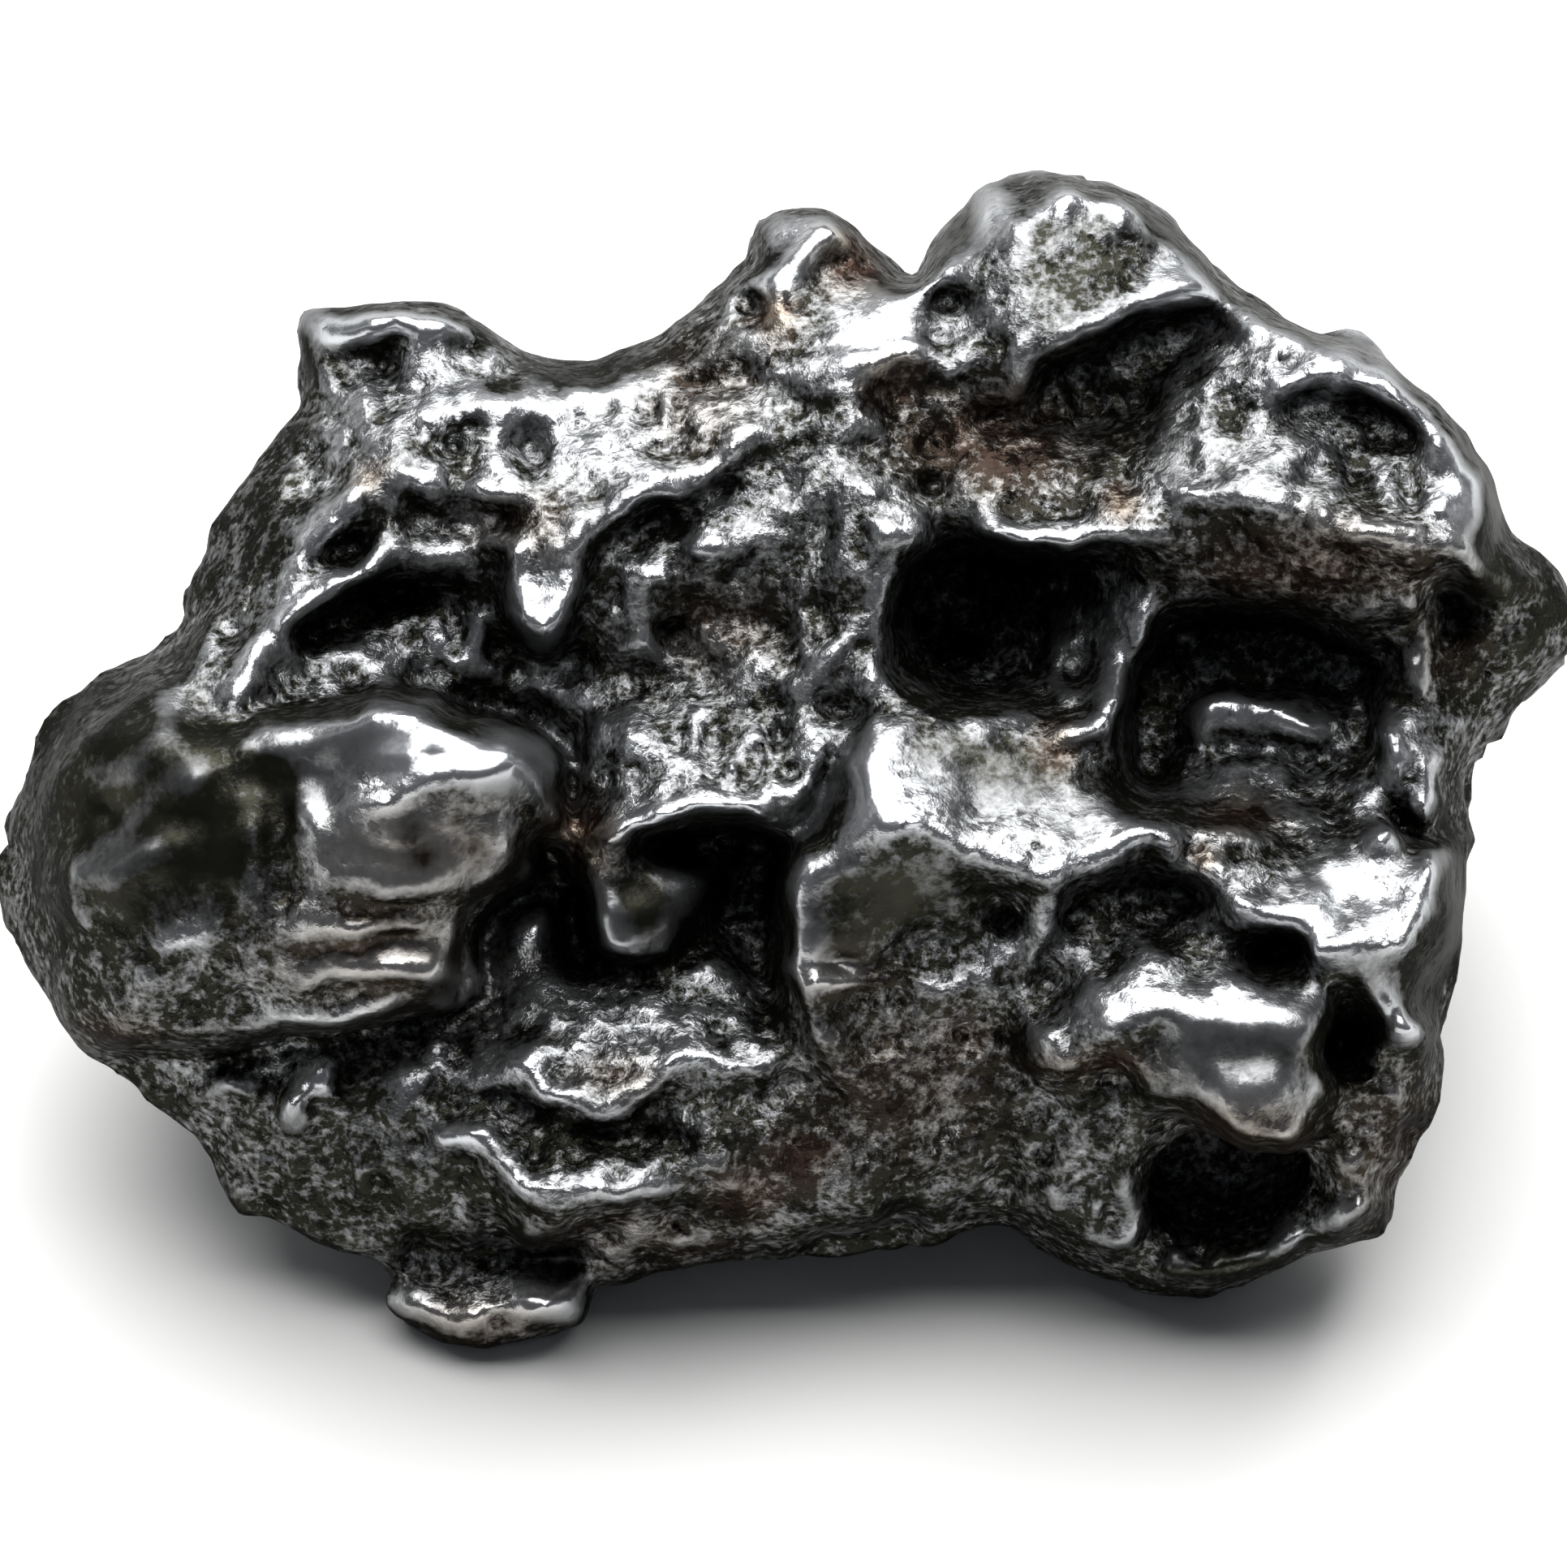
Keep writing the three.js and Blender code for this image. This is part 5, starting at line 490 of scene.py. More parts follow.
# Smooth, worn areas of the face: u, v, half width, half height, turn, smoothness.
SMOOTH = [
    (-15.2, -0.8, 3.6, 3.4, 0, 0.9), (-12, 0.2, 2, 1.6, 0, 0.9), (-9.5, 0.85, 3, 1, -5, 1),
    (-7, 0.4, 1.6, 1, 0, 1), (-9, -1.5, 3, 1.5, 0, 0.88), (-9.5, -4.2, 2.8, 1.2, -5, 0.75),
    (11.2, -6.6, 2.6, 1.9, 0, 0.9), (8.6, -5.4, 1.4, 0.8, 0, 0.6), (2.5, -2.6, 2.6, 1.2, 0, 0.85),
    (1.3, -3.8, 1.2, 1.8, 0, 0.85), (17.2, 7.2, 1, 2.2, 0, 0.9), (16.4, -3, 0.8, 2, 0, 0.8),
    (15.2, -5.2, 1.2, 1.2, 0, 0.7), (14.4, -4.5, 1.6, 0.6, 0, 0.7), (2.3, 11.3, 1.4, 1.4, 30, 0.7),
    (4.6, 13.8, 0.8, 1.4, -30, 0.8), (9.8, 12.4, 1, 0.9, 0, 0.8), (9.6, 13.8, 0.9, 0.7, -40, 0.8),
    (5, 0.2, 3, 1.3, -12, 0.75), (7.5, -0.8, 1.6, 0.8, -10, 0.7), (13.6, -2.8, 2, 1.3, 10, 0.75),
    (-5, 10, 2.4, 1, 10, 0.5), (-12.4, 10.6, 0.8, 1.4, 0, 0.6), (-3.5, -3.1, 1.6, 1.3, 0, 0.95),
    (2.2, 0.2, 0.9, 1.6, 0, 0.9), (1, -0.4, 0.5, 1.6, -30, 0.7), (-10.8, 11.2, 1.4, 0.8, 0, 0.4),
    (14, 10.6, 2.4, 0.7, -25, 0.6), (11.2, 7.6, 2, 0.9, -10, 0.4), (0.3, 12.9, 0.7, 1.2, -40, 0.6),
    (-5.6, -12.6, 0.8, 0.9, 0, 0.7), (-6, 4.5, 0.8, 1.2, 0, 0.5), (6.9, 13, 1.8, 2, 0, 0.45),
    (9.6, 8.2, 0.7, 1, 0, 0.6),
]

# Areas of the face that lean up (below zero) or down more: u, v, half width, half height, turn,
# slope.
LEANS = [
    (-9.2, 1.1, 0.8, 0.9, 0, -0.5), (-7.3, 0.75, 1.5, 0.5, 8, -0.6), (-9.2, 0.05, 1.6, 0.4, 22, -0.6),
    (-15, 0.1, 2.3, 1.3, 0, 0.5), (-6, 4.5, 0.9, 0.9, -15, -0.5), (10, 8.2, 0.9, 0.9, 0, 0.2),
    (-12.4, 2.3, 1.4, 0.6, 0, -0.4), (1.2, -4.65, 0.9, 0.35, 0, -0.8),
]

# Areas of the face painted brighter or, below zero, darker: partly burnish and oxide of the metal, partly
# painted highlights on slopes that face up and painted shade in hollows, cavities, seams and edges: u, v,
# half width, half height, turn, amount.
TONE_AND_PAINTED_LIGHT = [
    (-15.5, -8, 4, 2.2, -35, -0.5), (-10, -9.5, 5, 2.2, -10, -0.45), (1.5, -9, 4.5, 2.6, 0, -0.45),
    (14.8, -9.3, 2, 3.2, 0, -0.5), (7.5, -8.5, 2, 2.5, 0, -0.35), (-19, -2.5, 1.6, 3.2, 0, -0.9),
    (-18, 2, 2, 1.8, 40, -0.6), (-14, 6, 1.3, 3.4, -20, -0.6), (-12.3, 9.5, 0.9, 2.2, 0, -0.5),
    (12.5, 5.2, 4, 0.8, -5, -0.25), (18.6, 4.6, 1.8, 3, 0, -0.9), (16.5, 3, 1.5, 1.5, 0, -0.5),
    (17, -3, 0.7, 3, 0, -0.5), (-3, 0, 2, 1.2, 0, 0.2), (-3.5, -6, 3, 1.2, 0, 0.2),
    (12.5, 10.5, 3, 1.2, -25, 0.25), (-5, 8.2, 2.5, 1.2, 20, 0.2), (-15.4, -1, 2.8, 2.6, 0, -0.55),
    (17.8, 7.5, 1, 2, 0, -0.3), (2, -3, 2.4, 1.2, 0, -0.3), (7.1, 12.8, 1.8, 2, 0, -0.3),
    (-12.3, -1.1, 0.35, 1.8, 6, -0.7), (-13, 0.6, 1, 0.3, -45, -0.5), (-16.2, -1, 1.7, 0.3, 42, 0.35),
    (-9.05, -1.15, 0.2, 0.3, 0, -0.7), (-8.85, -1.8, 0.22, 0.25, 0, -0.8),
    (-8.1, -0.9, 0.3, 0.2, 30, -0.4), (-7.75, -1.5, 0.4, 0.2, 40, -0.4),
    (-8.9, 1.35, 0.25, 0.12, -20, -1), (-9.3, -2.95, 1.5, 0.16, 10, -1),
    (-10.3, -3.95, 1.8, 0.16, 2, -0.5), (-9.6, -4.95, 1.6, 0.16, 0, -0.5),
    (-10.5, -3.45, 2, 0.14, 3, 0.35), (-9.8, -4.45, 1.8, 0.14, -2, 0.35), (-10.2, -5.45, 2, 0.16, 5, 0.3),
    (4.4, 4, 1.5, 1.7, 0, -0.6), (11.8, 3, 3, 0.8, -5, -0.5), (9, 1.6, 0.8, 1.7, 0, -0.6),
    (8, 9.2, 1.5, 1, -10, -0.7), (5.2, 8.3, 2.3, 1.4, 0, -0.4), (10.6, -9.8, 2, 1.6, 0, -0.6),
    (-10, 4.4, 2, 0.7, 20, -0.5), (13.8, -6.3, 0.8, 1, 0, -0.7), (-9.2, 1.05, 0.8, 1, 0, 0.5),
    (-7.3, 0.75, 1.7, 0.5, 8, 0.5), (-9.2, 0.05, 1.7, 0.4, 22, 0.5), (-15, -4.9, 3, 1.2, 0, -0.15),
    (2.6, -5.4, 2.6, 2, 0, -0.3), (5.4, 0.6, 2.6, 0.7, -12, -0.35), (4.6, -1.2, 2.6, 0.45, -18, 0.4),
    (7.9, -1.5, 1.1, 0.4, 30, 0.4), (2.2, 0.3, 0.7, 1.5, 0, 0.4), (14, -3, 1.9, 1.1, 10, 0.35),
    (8.4, -5.1, 1.3, 0.5, 35, 0.45), (11, -5.2, 2.2, 0.4, -5, 0.45), (11.4, -6.5, 2, 1.1, 0, -0.2),
    (11.5, -7.5, 1, 0.25, 0, 0.4), (16.6, 7.2, 0.7, 1.2, -10, 0.4), (-11.4, 0.7, 1.6, 1, 0, -0.1),
    (9.9, 12.5, 1.1, 0.7, 0, 0.4), (4.7, 13.8, 0.7, 1.2, -20, 0.4), (2.4, 11.2, 1.1, 0.8, 30, 0.4),
    (-13.4, -1, 0.6, 1.6, 0, -0.4), (-15, 1.2, 2, 0.6, 0, -0.3), (10.5, -11.9, 2.8, 0.7, 0, -0.8),
    (2.8, -0.4, 1.1, 0.6, 0, 0.4), (0.3, -6, 0.4, 1, 0, -0.5), (0.5, -2.4, 0.5, 0.5, 0, 0.3),
    (1.1, -4.6, 1, 0.4, 0, 0.5), (4.4, -4.5, 1.6, 0.4, 32, 0.45), (-3.5, -3.1, 1.5, 1.3, 0, -0.7),
    (7, 14.6, 2.6, 0.7, 0, 0.5), (14.5, 10.6, 3, 0.7, -28, 0.5), (17.2, 7.6, 0.7, 1.6, -10, 0.3),
    (-9.5, 11.6, 2, 0.5, 0, 0.4), (0.5, 14, 0.9, 0.5, 0, 0.4), (-5.95, 4.5, 0.7, 1, 0, 0.5),
    (-9.4, -1.4, 2.4, 0.8, 0, 0.15), (-14.6, -3.8, 0.7, 0.25, 0, 0.7), (16.2, -7.6, 0.6, 1.2, 0, -0.2),
    (-7.8, -8.75, 0.6, 0.4, 0, 0.5), (-5.6, -9.9, 1.2, 0.4, 0, 0.3), (-11.6, -7, 0.4, 0.8, 15, 0.4),
    (6.2, 3.4, 0.4, 0.4, 0, 0.5), (-8.6, 10, 1.2, 1, 0, 0.3), (8, 4.2, 1.3, 1.2, 0, 0.35),
    (-12.3, -0.3, 0.5, 0.7, 0, -0.5), (11.8, 1.2, 1.8, 0.8, 0, 0.2),
]

# Rust-brown areas of the face: u, v, half width, half height, turn, strength.
RUST = [
    (-5, -1.3, 0.8, 0.9, 0, 1), (-0.2, 11.5, 0.6, 0.6, 0, 0.9), (1.7, 12.9, 0.9, 0.9, 0, 0.8),
    (2.6, 9.8, 0.7, 0.7, 0, 0.8), (5.2, 8.4, 2.2, 1.2, 0, 0.6), (8.2, 6.9, 0.5, 0.4, 0, 1),
    (-10.1, 7.5, 0.5, 0.4, 0, 0.7), (11.2, -0.8, 1, 0.5, 0, 0.7), (10.3, -1.8, 0.3, 0.3, 0, 1),
    (4.5, -6.3, 0.8, 0.6, 0, 0.6), (0.6, -9.1, 1, 0.7, 0, 0.6), (-0.8, -10, 1, 0.7, 0, 0.6),
    (-2, 9.6, 1.4, 1.6, 0, 0.3), (-8.8, -1.5, 2.4, 1.1, 0, 0.4), (-9.8, -4, 2.6, 1.4, 0, 0.35),
    (13, 5.4, 3, 1, 0, 0.6), (-1.5, 3.9, 1.6, 1, 0, 0.4), (-6.4, 6.4, 1.4, 0.8, 0, 0.35),
    (14.8, -9, 1.6, 1.8, 0, 0.3), (1.5, -4.8, 1.4, 0.7, 0, 0.3), (6.6, 1, 0.5, 0.6, 0, 0.7),
    (-7.6, -13.2, 1.8, 0.6, 0, 0.5), (3, -7.4, 2.4, 1.8, 0, 0.35), (-3.5, -11.2, 2.5, 0.8, 0, 0.3),
    (16.4, 3.4, 1, 1, 0, 0.3), (-4, -7.2, 1, 0.5, 0, 0.4), (-16.4, -6.1, 1.4, 0.5, 0, 0.35),
    (11.4, -8.3, 1.8, 0.7, 0, 0.5), (7.6, -6.9, 1.8, 0.4, 0, 0.5),
]


def smooth_ring(points, steps):
    """A closed curve through the points, as short straight steps."""
    p = np.array(points, float)
    knots = np.vstack([p[-1:], p, p[:2]])
    t = np.linspace(0, 1, steps, endpoint=False)[:, None]
    runs = []
    for a, b, c, d in zip(knots, knots[1:], knots[2:], knots[3:]):
        bend = (2 * a - 5 * b + 4 * c - d) * t**2 + (3 * b - a - 3 * c + d) * t**3
        runs.append(0.5 * (2 * b + (c - a) * t + bend))
    runs.append(knots[-2:-1])
    return np.vstack(runs)


def distance_to(path, u, v):
    best = np.full(u.shape, np.inf)
    for a, b in zip(path[:-1], path[1:]):
        e = b - a
        ru, rv = u - a[0], v - a[1]
        t = np.clip((ru * e[0] + rv * e[1]) / (e @ e + TINY), 0, 1)
        best = np.minimum(best, (ru - t * e[0]) ** 2 + (rv - t * e[1]) ** 2)
    return np.sqrt(best)


def inside_outline(u, v):
    """Distance inside the outline, negative outside it."""
    ring = smooth_ring(OUTLINE, 3)
    inside = np.zeros(u.shape, bool)
    for (au, av), (bu, bv) in zip(ring[:-1], ring[1:]):
        crosses = (av > v) != (bv > v)
        inside ^= crosses & (u < (bu - au) * (v - av) / (bv - av + TINY) + au)
    d = distance_to(ring, u, v)
    return np.where(inside, d, -d)


def soft_step(x):
    """0 up to 0 and 1 from 1 on, with an even bend between."""
    x = np.clip(x, 0, 1)
    return x * x * (3 - 2 * x)


def soft_max(a, b, rounding):
    """The larger of the two, with the corner where they meet rounded."""
    return np.maximum(a, b) + np.maximum(0, rounding - np.abs(a - b)) ** 2 / (4 * rounding)


def cloud(shape, size, rng):
    """Smooth random numbers, size samples from one bump to the next."""
    coarse = rng.standard_normal([int(n / size) + 3 for n in shape])
    for axis, n in enumerate(shape):
        t = np.arange(n) / size
        i = t.astype(int)
        f = soft_step(t - i).reshape([-1 if k == axis else 1 for k in range(len(shape))])
        coarse = np.take(coarse, i, axis) * (1 - f) + np.take(coarse, i + 1, axis) * f
    return coarse


def unevenness(shape, layers, rng):
    """Smooth random heights, in layers that each have a height and a spacing."""
    return sum(height * cloud(shape, spacing / CELL, rng) for height, spacing in layers)


def blur(a, cells):
    """Mean over a box that reaches this many cells each way."""
    for axis in range(a.ndim):
        pad = [(cells + 1, cells) if k == axis else (0, 0) for k in range(a.ndim)]
        total = np.cumsum(np.pad(a, pad, mode="edge"), axis=axis)
        n = a.shape[axis]
        high = np.take(total, np.arange(n) + 2 * cells + 1, axis)
        low = np.take(total, np.arange(n), axis)
        a = (high - low) / (2 * cells + 1)
    return a


def sample(grid, points):
    """Values of a lattice grid at points given in cells."""
    i = np.clip(points.astype(int), 0, np.array(grid.shape) - 2)
    f = points - i
    value = 0
    for corner in range(2**grid.ndim):
        bits = [(corner >> k) & 1 for k in range(grid.ndim)]
        weight = np.prod([f[:, k] if b else 1 - f[:, k] for k, b in enumerate(bits)], axis=0)
        value = value + weight * grid[tuple(i[:, k] + b for k, b in enumerate(bits))]
    return value


def spot_mean(spots, a, b, value=2):
    """Weighted mean of the spots' values, where small reaches win over large ones."""
    total = np.zeros(np.broadcast(a, b).shape)
    found = np.zeros(total.shape)
    for spot in spots:
        s = SPOT_WIDTH * spot[3]
        d2 = (a - spot[0]) ** 2 + (b - spot[1]) ** 2
        weight = (np.exp(-d2 / (2 * s * s)) + SPOT_FAR_WEIGHT / (1 + d2) ** 2) / (s * s)
        total += weight
        found += weight * spot[value]
    return found / total


def oval(u, v, spot, power):
    """The spot's amount in its middle, falling to 0 round it, with a harder edge at a higher power."""
    middle_u, middle_v, half_width, half_height, turn, amount = spot
    c, s = math.cos(math.radians(turn)), math.sin(math.radians(turn))
    x, y = u - middle_u, v - middle_v
    r2 = ((c * x + s * y) / half_width) ** 2 + ((c * y - s * x) / half_height) ** 2
    return amount * np.exp(-(r2 ** (power / 2)))


def pin(lines, us, vs, step):
    """Mean height of the lines that cross each spot of a grid, and which spots they pin."""
    total = np.zeros((len(us), len(vs)))
    count = np.zeros(total.shape)
    for line in lines:
        p = np.array(line, float)
        length = np.hypot(*np.diff(p[:, :2], axis=0).T).sum()
        t = np.linspace(0, len(p) - 1, max(2, math.ceil(2 * length / step)))
        u, v, w = (np.interp(t, np.arange(len(p)), p[:, k]) for k in range(3))
        spots = np.rint((u - us[0]) / step).astype(int), np.rint((v - vs[0]) / step).astype(int)
        np.add.at(total, spots, w)
        np.add.at(count, spots, 1)
    return total / np.maximum(count, 1), count > 0


def stretch(value, pinned, guess, rounds):
    """A sheet held where it is pinned and evened out everywhere else."""
    w = np.where(pinned, value, guess)
    for _ in range(rounds):
        p = np.pad(w, 1, mode="edge")
        mean = (p[:-2, 1:-1] + p[2:, 1:-1] + p[1:-1, :-2] + p[1:-1, 2:]) / 4
        w = np.where(pinned, value, mean)
    return w


def face_sheet():
    """The face as a grid of heights: a sheet over the break lines, coarse first and then finer.
    It is given twice, sharp and worn smooth."""
    ring = smooth_ring(OUTLINE, 2)
    edge = spot_mean(EDGE_SPOTS, ring[:, 0], ring[:, 1])
    rim = [(u, v, w + EDGE_RISE) for (u, v), w in zip(ring, edge)]
    w = None
    for coarseness, rounds in SHEET_ROUNDS:
        step = SHEET_STEP * coarseness
        us, vs = (np.arange(low, high + step, step) for low, high in (SPAN_U, SPAN_V))
        value, pinned = pin([rim, *BREAKS], us, vs, step)
        if w is None:
            w = np.full(value.shape, SHEET_START)
        else:
            at = np.meshgrid(np.arange(len(us)) / 2, np.arange(len(vs)) / 2, indexing="ij")
            w = sample(w, np.stack([a.ravel() for a in at], 1)).reshape(value.shape)
        w = stretch(value, pinned, w, rounds)
    near, soft, wide = (blur(blur(w, reach), reach) for reach in SHEET_BLURS)
    return near + RELIEF * (near - wide), soft + RELIEF * (soft - wide)


def face_maps(u, v, inside):
    """How smooth, rusty and burnished the face is; its tone also holds painted highlights and painted shade,
    and painted shade along the outline.
    """
    # the tone sums burnish and oxide patches with painted highlights and painted shade
    tone_and_painted_light = sum(oval(u, v, spot, 3) for spot in TONE_AND_PAINTED_LIGHT)
    return {
        "smooth": np.maximum.reduce([oval(u, v, spot, 4) for spot in SMOOTH]),
        "rust": np.maximum.reduce([oval(u, v, spot, 2.5) for spot in RUST]),
        # painted shade: the tone is darkened along the outline
        "tone_and_painted_light": tone_and_painted_light - OUTLINE_PAINTED_SHADE * (1 - soft_step(inside / OUTLINE_FADE)),
    }


def face_height(u, v, smooth, rng):
    """Height of the face: the sheet, with crumbs wherever it isn't worn smooth."""
    at = np.stack([(u - SPAN_U[0]).ravel(), (v - SPAN_V[0]).ravel()], 1) / SHEET_STEP
    sharp, soft = (sample(sheet, np.maximum(at, 0)).reshape(u.shape) for sheet in face_sheet())
    height = sharp + (soft - sharp) * soft_step(smooth)
    for rise, spacing in CRUMBS:
        crumb = CRUMB_LEVEL - abs(cloud(u.shape, spacing / CELL, rng))
        height += rise * crumb * (1 - 0.95 * smooth)
    for spot in LEANS:
        height += (v - spot[1]) * oval(u, v, spot, 4)
    return height


def place(u, v, w):
    """From the sloping plane to its place in the frame, before it is centred."""
    y = v * math.sin(SLOPE) - w * math.cos(SLOPE)
    z = v * math.cos(SLOPE) + w * math.sin(SLOPE) + REST_HEIGHT
    return u, y, z


def body(u, v, behind, front, inside):
    """The lump before its rear and its hollows are cut: a rounded front on sides that taper back."""
    slope = np.gradient(front, CELL)
    steep = np.sqrt(1 + slope[0] ** 2 + slope[1] ** 2)
    rounding = spot_mean(EDGE_SPOTS, u, v, 4)
    side = np.maximum(0, (rounding - inside) / rounding)[:, :, None]
    depth = (np.minimum(front, FRONT_DEPTH) / steep)[:, :, None]
    fore = (np.hypot(behind / front[:, :, None], side) - 1) * depth
    return np.where(behind > 0, BACK_TAPER * behind**2 - inside[:, :, None], fore)


def hollow_out(f, face_place, world_place):
    """The lump with the undercuts of its face and the thumbprints of its rear taken away."""
    for a, b, radius in UNDERCUTS:
        e = [end - start for start, end in zip(a, b)]
        p = [q - start for q, start in zip(face_place, a)]
        t = np.clip(sum(q * k for q, k in zip(p, e)) / sum(k * k for k in e), 0, 1)
        d = np.sqrt(sum((q - t * k) ** 2 for q, k in zip(p, e)))
        f = soft_max(f, radius - d, CUT_BLEND)
    for *centre, radius in THUMBPRINTS:
        d = np.sqrt(sum((q - c) ** 2 for q, c in zip(world_place, centre)))
        f = soft_max(f, radius - d, CUT_BLEND)
    return f


def sculpt():
    """Samples of the lump over the lattice, below zero inside it, and the maps of its face."""
    rng = np.random.default_rng(SEED)
    us, vs, ws = (np.arange(low, high, CELL) for low, high in (SPAN_U, SPAN_V, SPAN_W))
    u, v = np.meshgrid(us, vs, indexing="ij")
    sway_u, sway_v = (unevenness(u.shape, SWAY, rng) for _ in "uv")
    inside = inside_outline(u + OUTLINE_SWAY * sway_u, v + OUTLINE_SWAY * sway_v)
    maps = face_maps(u + sway_u, v + sway_v, inside)
    height = face_height(u + sway_u, v + sway_v, maps["smooth"], rng)
    edge = spot_mean(EDGE_SPOTS, u, v)
    lattice = u[:, :, None], v[:, :, None], ws[None, None, :]
    behind = edge[:, :, None] - lattice[2]
    f = body(u, v, behind, np.maximum(height - edge, LEAST_FRONT), inside)
    x, y, z = place(*lattice)
    y, z = np.broadcast_arrays(y, z)
    f = soft_max(f, spot_mean(UNDERSIDE, x, y) - z, REAR_BLEND)
    f = soft_max(f, y - spot_mean(REAR, x, z), REAR_BLEND)
    f = hollow_out(f, lattice, (x, y, z))
    unseen = soft_step((behind + 1.0) / 2.0)
    f = np.clip(f + unevenness(f.shape, ROUGHNESS, rng) * unseen, -6 * CELL, 6 * CELL)
    return np.maximum(f, -z), maps


def net(f):
    """One vertex in every cell the surface crosses, a quad across every lattice edge it crosses."""
    solid = f < 0
    shape = np.array(f.shape)
    total = np.zeros([*(shape - 1), 3])
    count = np.zeros(shape - 1)
    crossings = []
    for axis in range(3):
        low = [slice(None)] * 3
        high = [slice(None)] * 3
        low[axis], high[axis] = slice(None, -1), slice(1, None)
        a, b = f[tuple(low)], f[tuple(high)]
        cross = solid[tuple(low)] != solid[tuple(high)]
        at = np.argwhere(cross)
        spot = at.astype(float)
        spot[:, axis] += np.clip(a[cross] / (a[cross] - b[cross]), CROSS_MARGIN, 1 - CROSS_MARGIN)
        crossings.append((axis, at, solid[tuple(low)][cross]))
        for di, dj in ((0, 0), (0, 1), (1, 0), (1, 1)):
            cell = at - np.insert([di, dj], axis, 0)
            ok = ((cell >= 0) & (cell < shape - 1)).all(1)
            index = tuple(cell[ok].T)
            for k in range(3):
                np.add.at(total[..., k], index, spot[ok][:, k])
            np.add.at(count, index, 1)
    used = count > 0
    number = np.full(shape - 1, -1)
    number[used] = np.arange(used.sum())
    quads = []
    for axis, at, inward in crossings:
        s, t = np.zeros(3, int), np.zeros(3, int)
        s[(axis + 1) % 3] = 1
        t[(axis + 2) % 3] = 1
        ring = np.stack([number[tuple((at - k).T)] for k in (0 * s, s, s + t, t)], 1)
        ring[~inward] = ring[~inward][:, ::-1]
        quads.append(ring)
    return total[used] / count[used][:, None], np.vstack(quads)


def wear(f, maps, vertices, on_face):
    """How convex, smooth, rusty and burnished the lump is at every vertex, with painted shade taken off the
    tone on sheer walls and on the undersides of ledges.
    """
    near = np.clip(f, -RIDGE_DEPTH, RIDGE_DEPTH)
    values = {"ridge": sample(blur(near, round(RIDGE_REACH / CELL)), vertices)}
    for name, grid in maps.items():
        values[name] = sample(grid, vertices[:, :2]) * on_face
    facing = np.array([sample(slope, vertices) for slope in np.gradient(blur(near, 1))])
    facing /= np.maximum(np.linalg.norm(facing, axis=0), 1e-6)
    # painted shade: sheer walls and the undersides of ledges are painted darker
    painted_wall_shade = WALL_PAINTED_SHADE * soft_step((0.5 - facing[2]) / 0.4)
    painted_underside_shade = UNDERSIDE_PAINTED_SHADE * soft_step((-0.15 - facing[1]) / 0.5)
    values["tone_and_painted_light"] -= (painted_wall_shade + painted_underside_shade) * on_face
    return values


def build_lump():
    f, maps = sculpt()
    vertices, quads = net(f)
    starts = np.array([SPAN_U[0], SPAN_V[0], SPAN_W[0]])
    u, v, w = (starts + vertices * CELL).T
    x, y, z = place(u, v, w)
    z = np.where(z < WORN_FLAT, 0, z)
    mesh = bpy.data.meshes.new("meteorite")
    points = np.stack([x - CENTRE[0], y - CENTRE[1], z], 1) * MM
    mesh.from_pydata(points.tolist(), [], quads.tolist())
    mesh.validate()
    mesh.polygons.foreach_set("use_smooth", [True] * len(mesh.polygons))
    on_face = soft_step((w + 4) / 3)
    for name, value in wear(f, maps, vertices, on_face).items():
        attribute = mesh.attributes.new(name, "FLOAT", "POINT")
        attribute.data.foreach_set("value", value.astype(np.float32))
    lump = bpy.data.objects.new("meteorite", mesh)
    bpy.context.scene.collection.objects.link(lump)
    return lump


def srgb(hex_code):
    """Linear colour of an sRGB hex value."""
    parts = [int(hex_code[i : i + 2], 16) / 255 for i in (1, 3, 5)]
    return (*[c / 12.92 if c <= 0.04045 else ((c + 0.055) / 1.055) ** 2.4 for c in parts], 1)


def node(tree, kind, settings=None, links=None):
    """A shader node with its settings and socket values, and links from (node, output) pairs."""
    made = tree.nodes.new("ShaderNode" + kind)
    for name, value in (settings or {}).items():
        if isinstance(name, int) or name in made.inputs:
            made.inputs[name].default_value = value
        else:
            setattr(made, name, value)
    for name, (source, output) in (links or {}).items():
        tree.links.new(source.outputs[output], made.inputs[name])
    return made


def etched_share(tree, ridge, smooth):
    """Where the surface is etched: full in rough hollows, little on ridges and smooth places."""
    convex = node(tree, "MapRange", {"From Min": 0, "From Max": 0.2, "To Min": 0, "To Max": 1},
                  {"Value": (ridge, "Fac")})
    rough = node(tree, "MapRange", {"From Min": 0, "From Max": 1, "To Min": 1, "To Max": 0.06},
                 {"Value": (smooth, "Fac")})
    plainer = node(tree, "MapRange", {"From Min": 0, "From Max": 1, "To Min": 1, "To Max": 0.25},
                   {"Value": (convex, "Result")})
    etched = node(tree, "Math", {"operation": "MULTIPLY"}, {0: (rough, "Result"), 1: (plainer, "Result")})
    return convex, etched


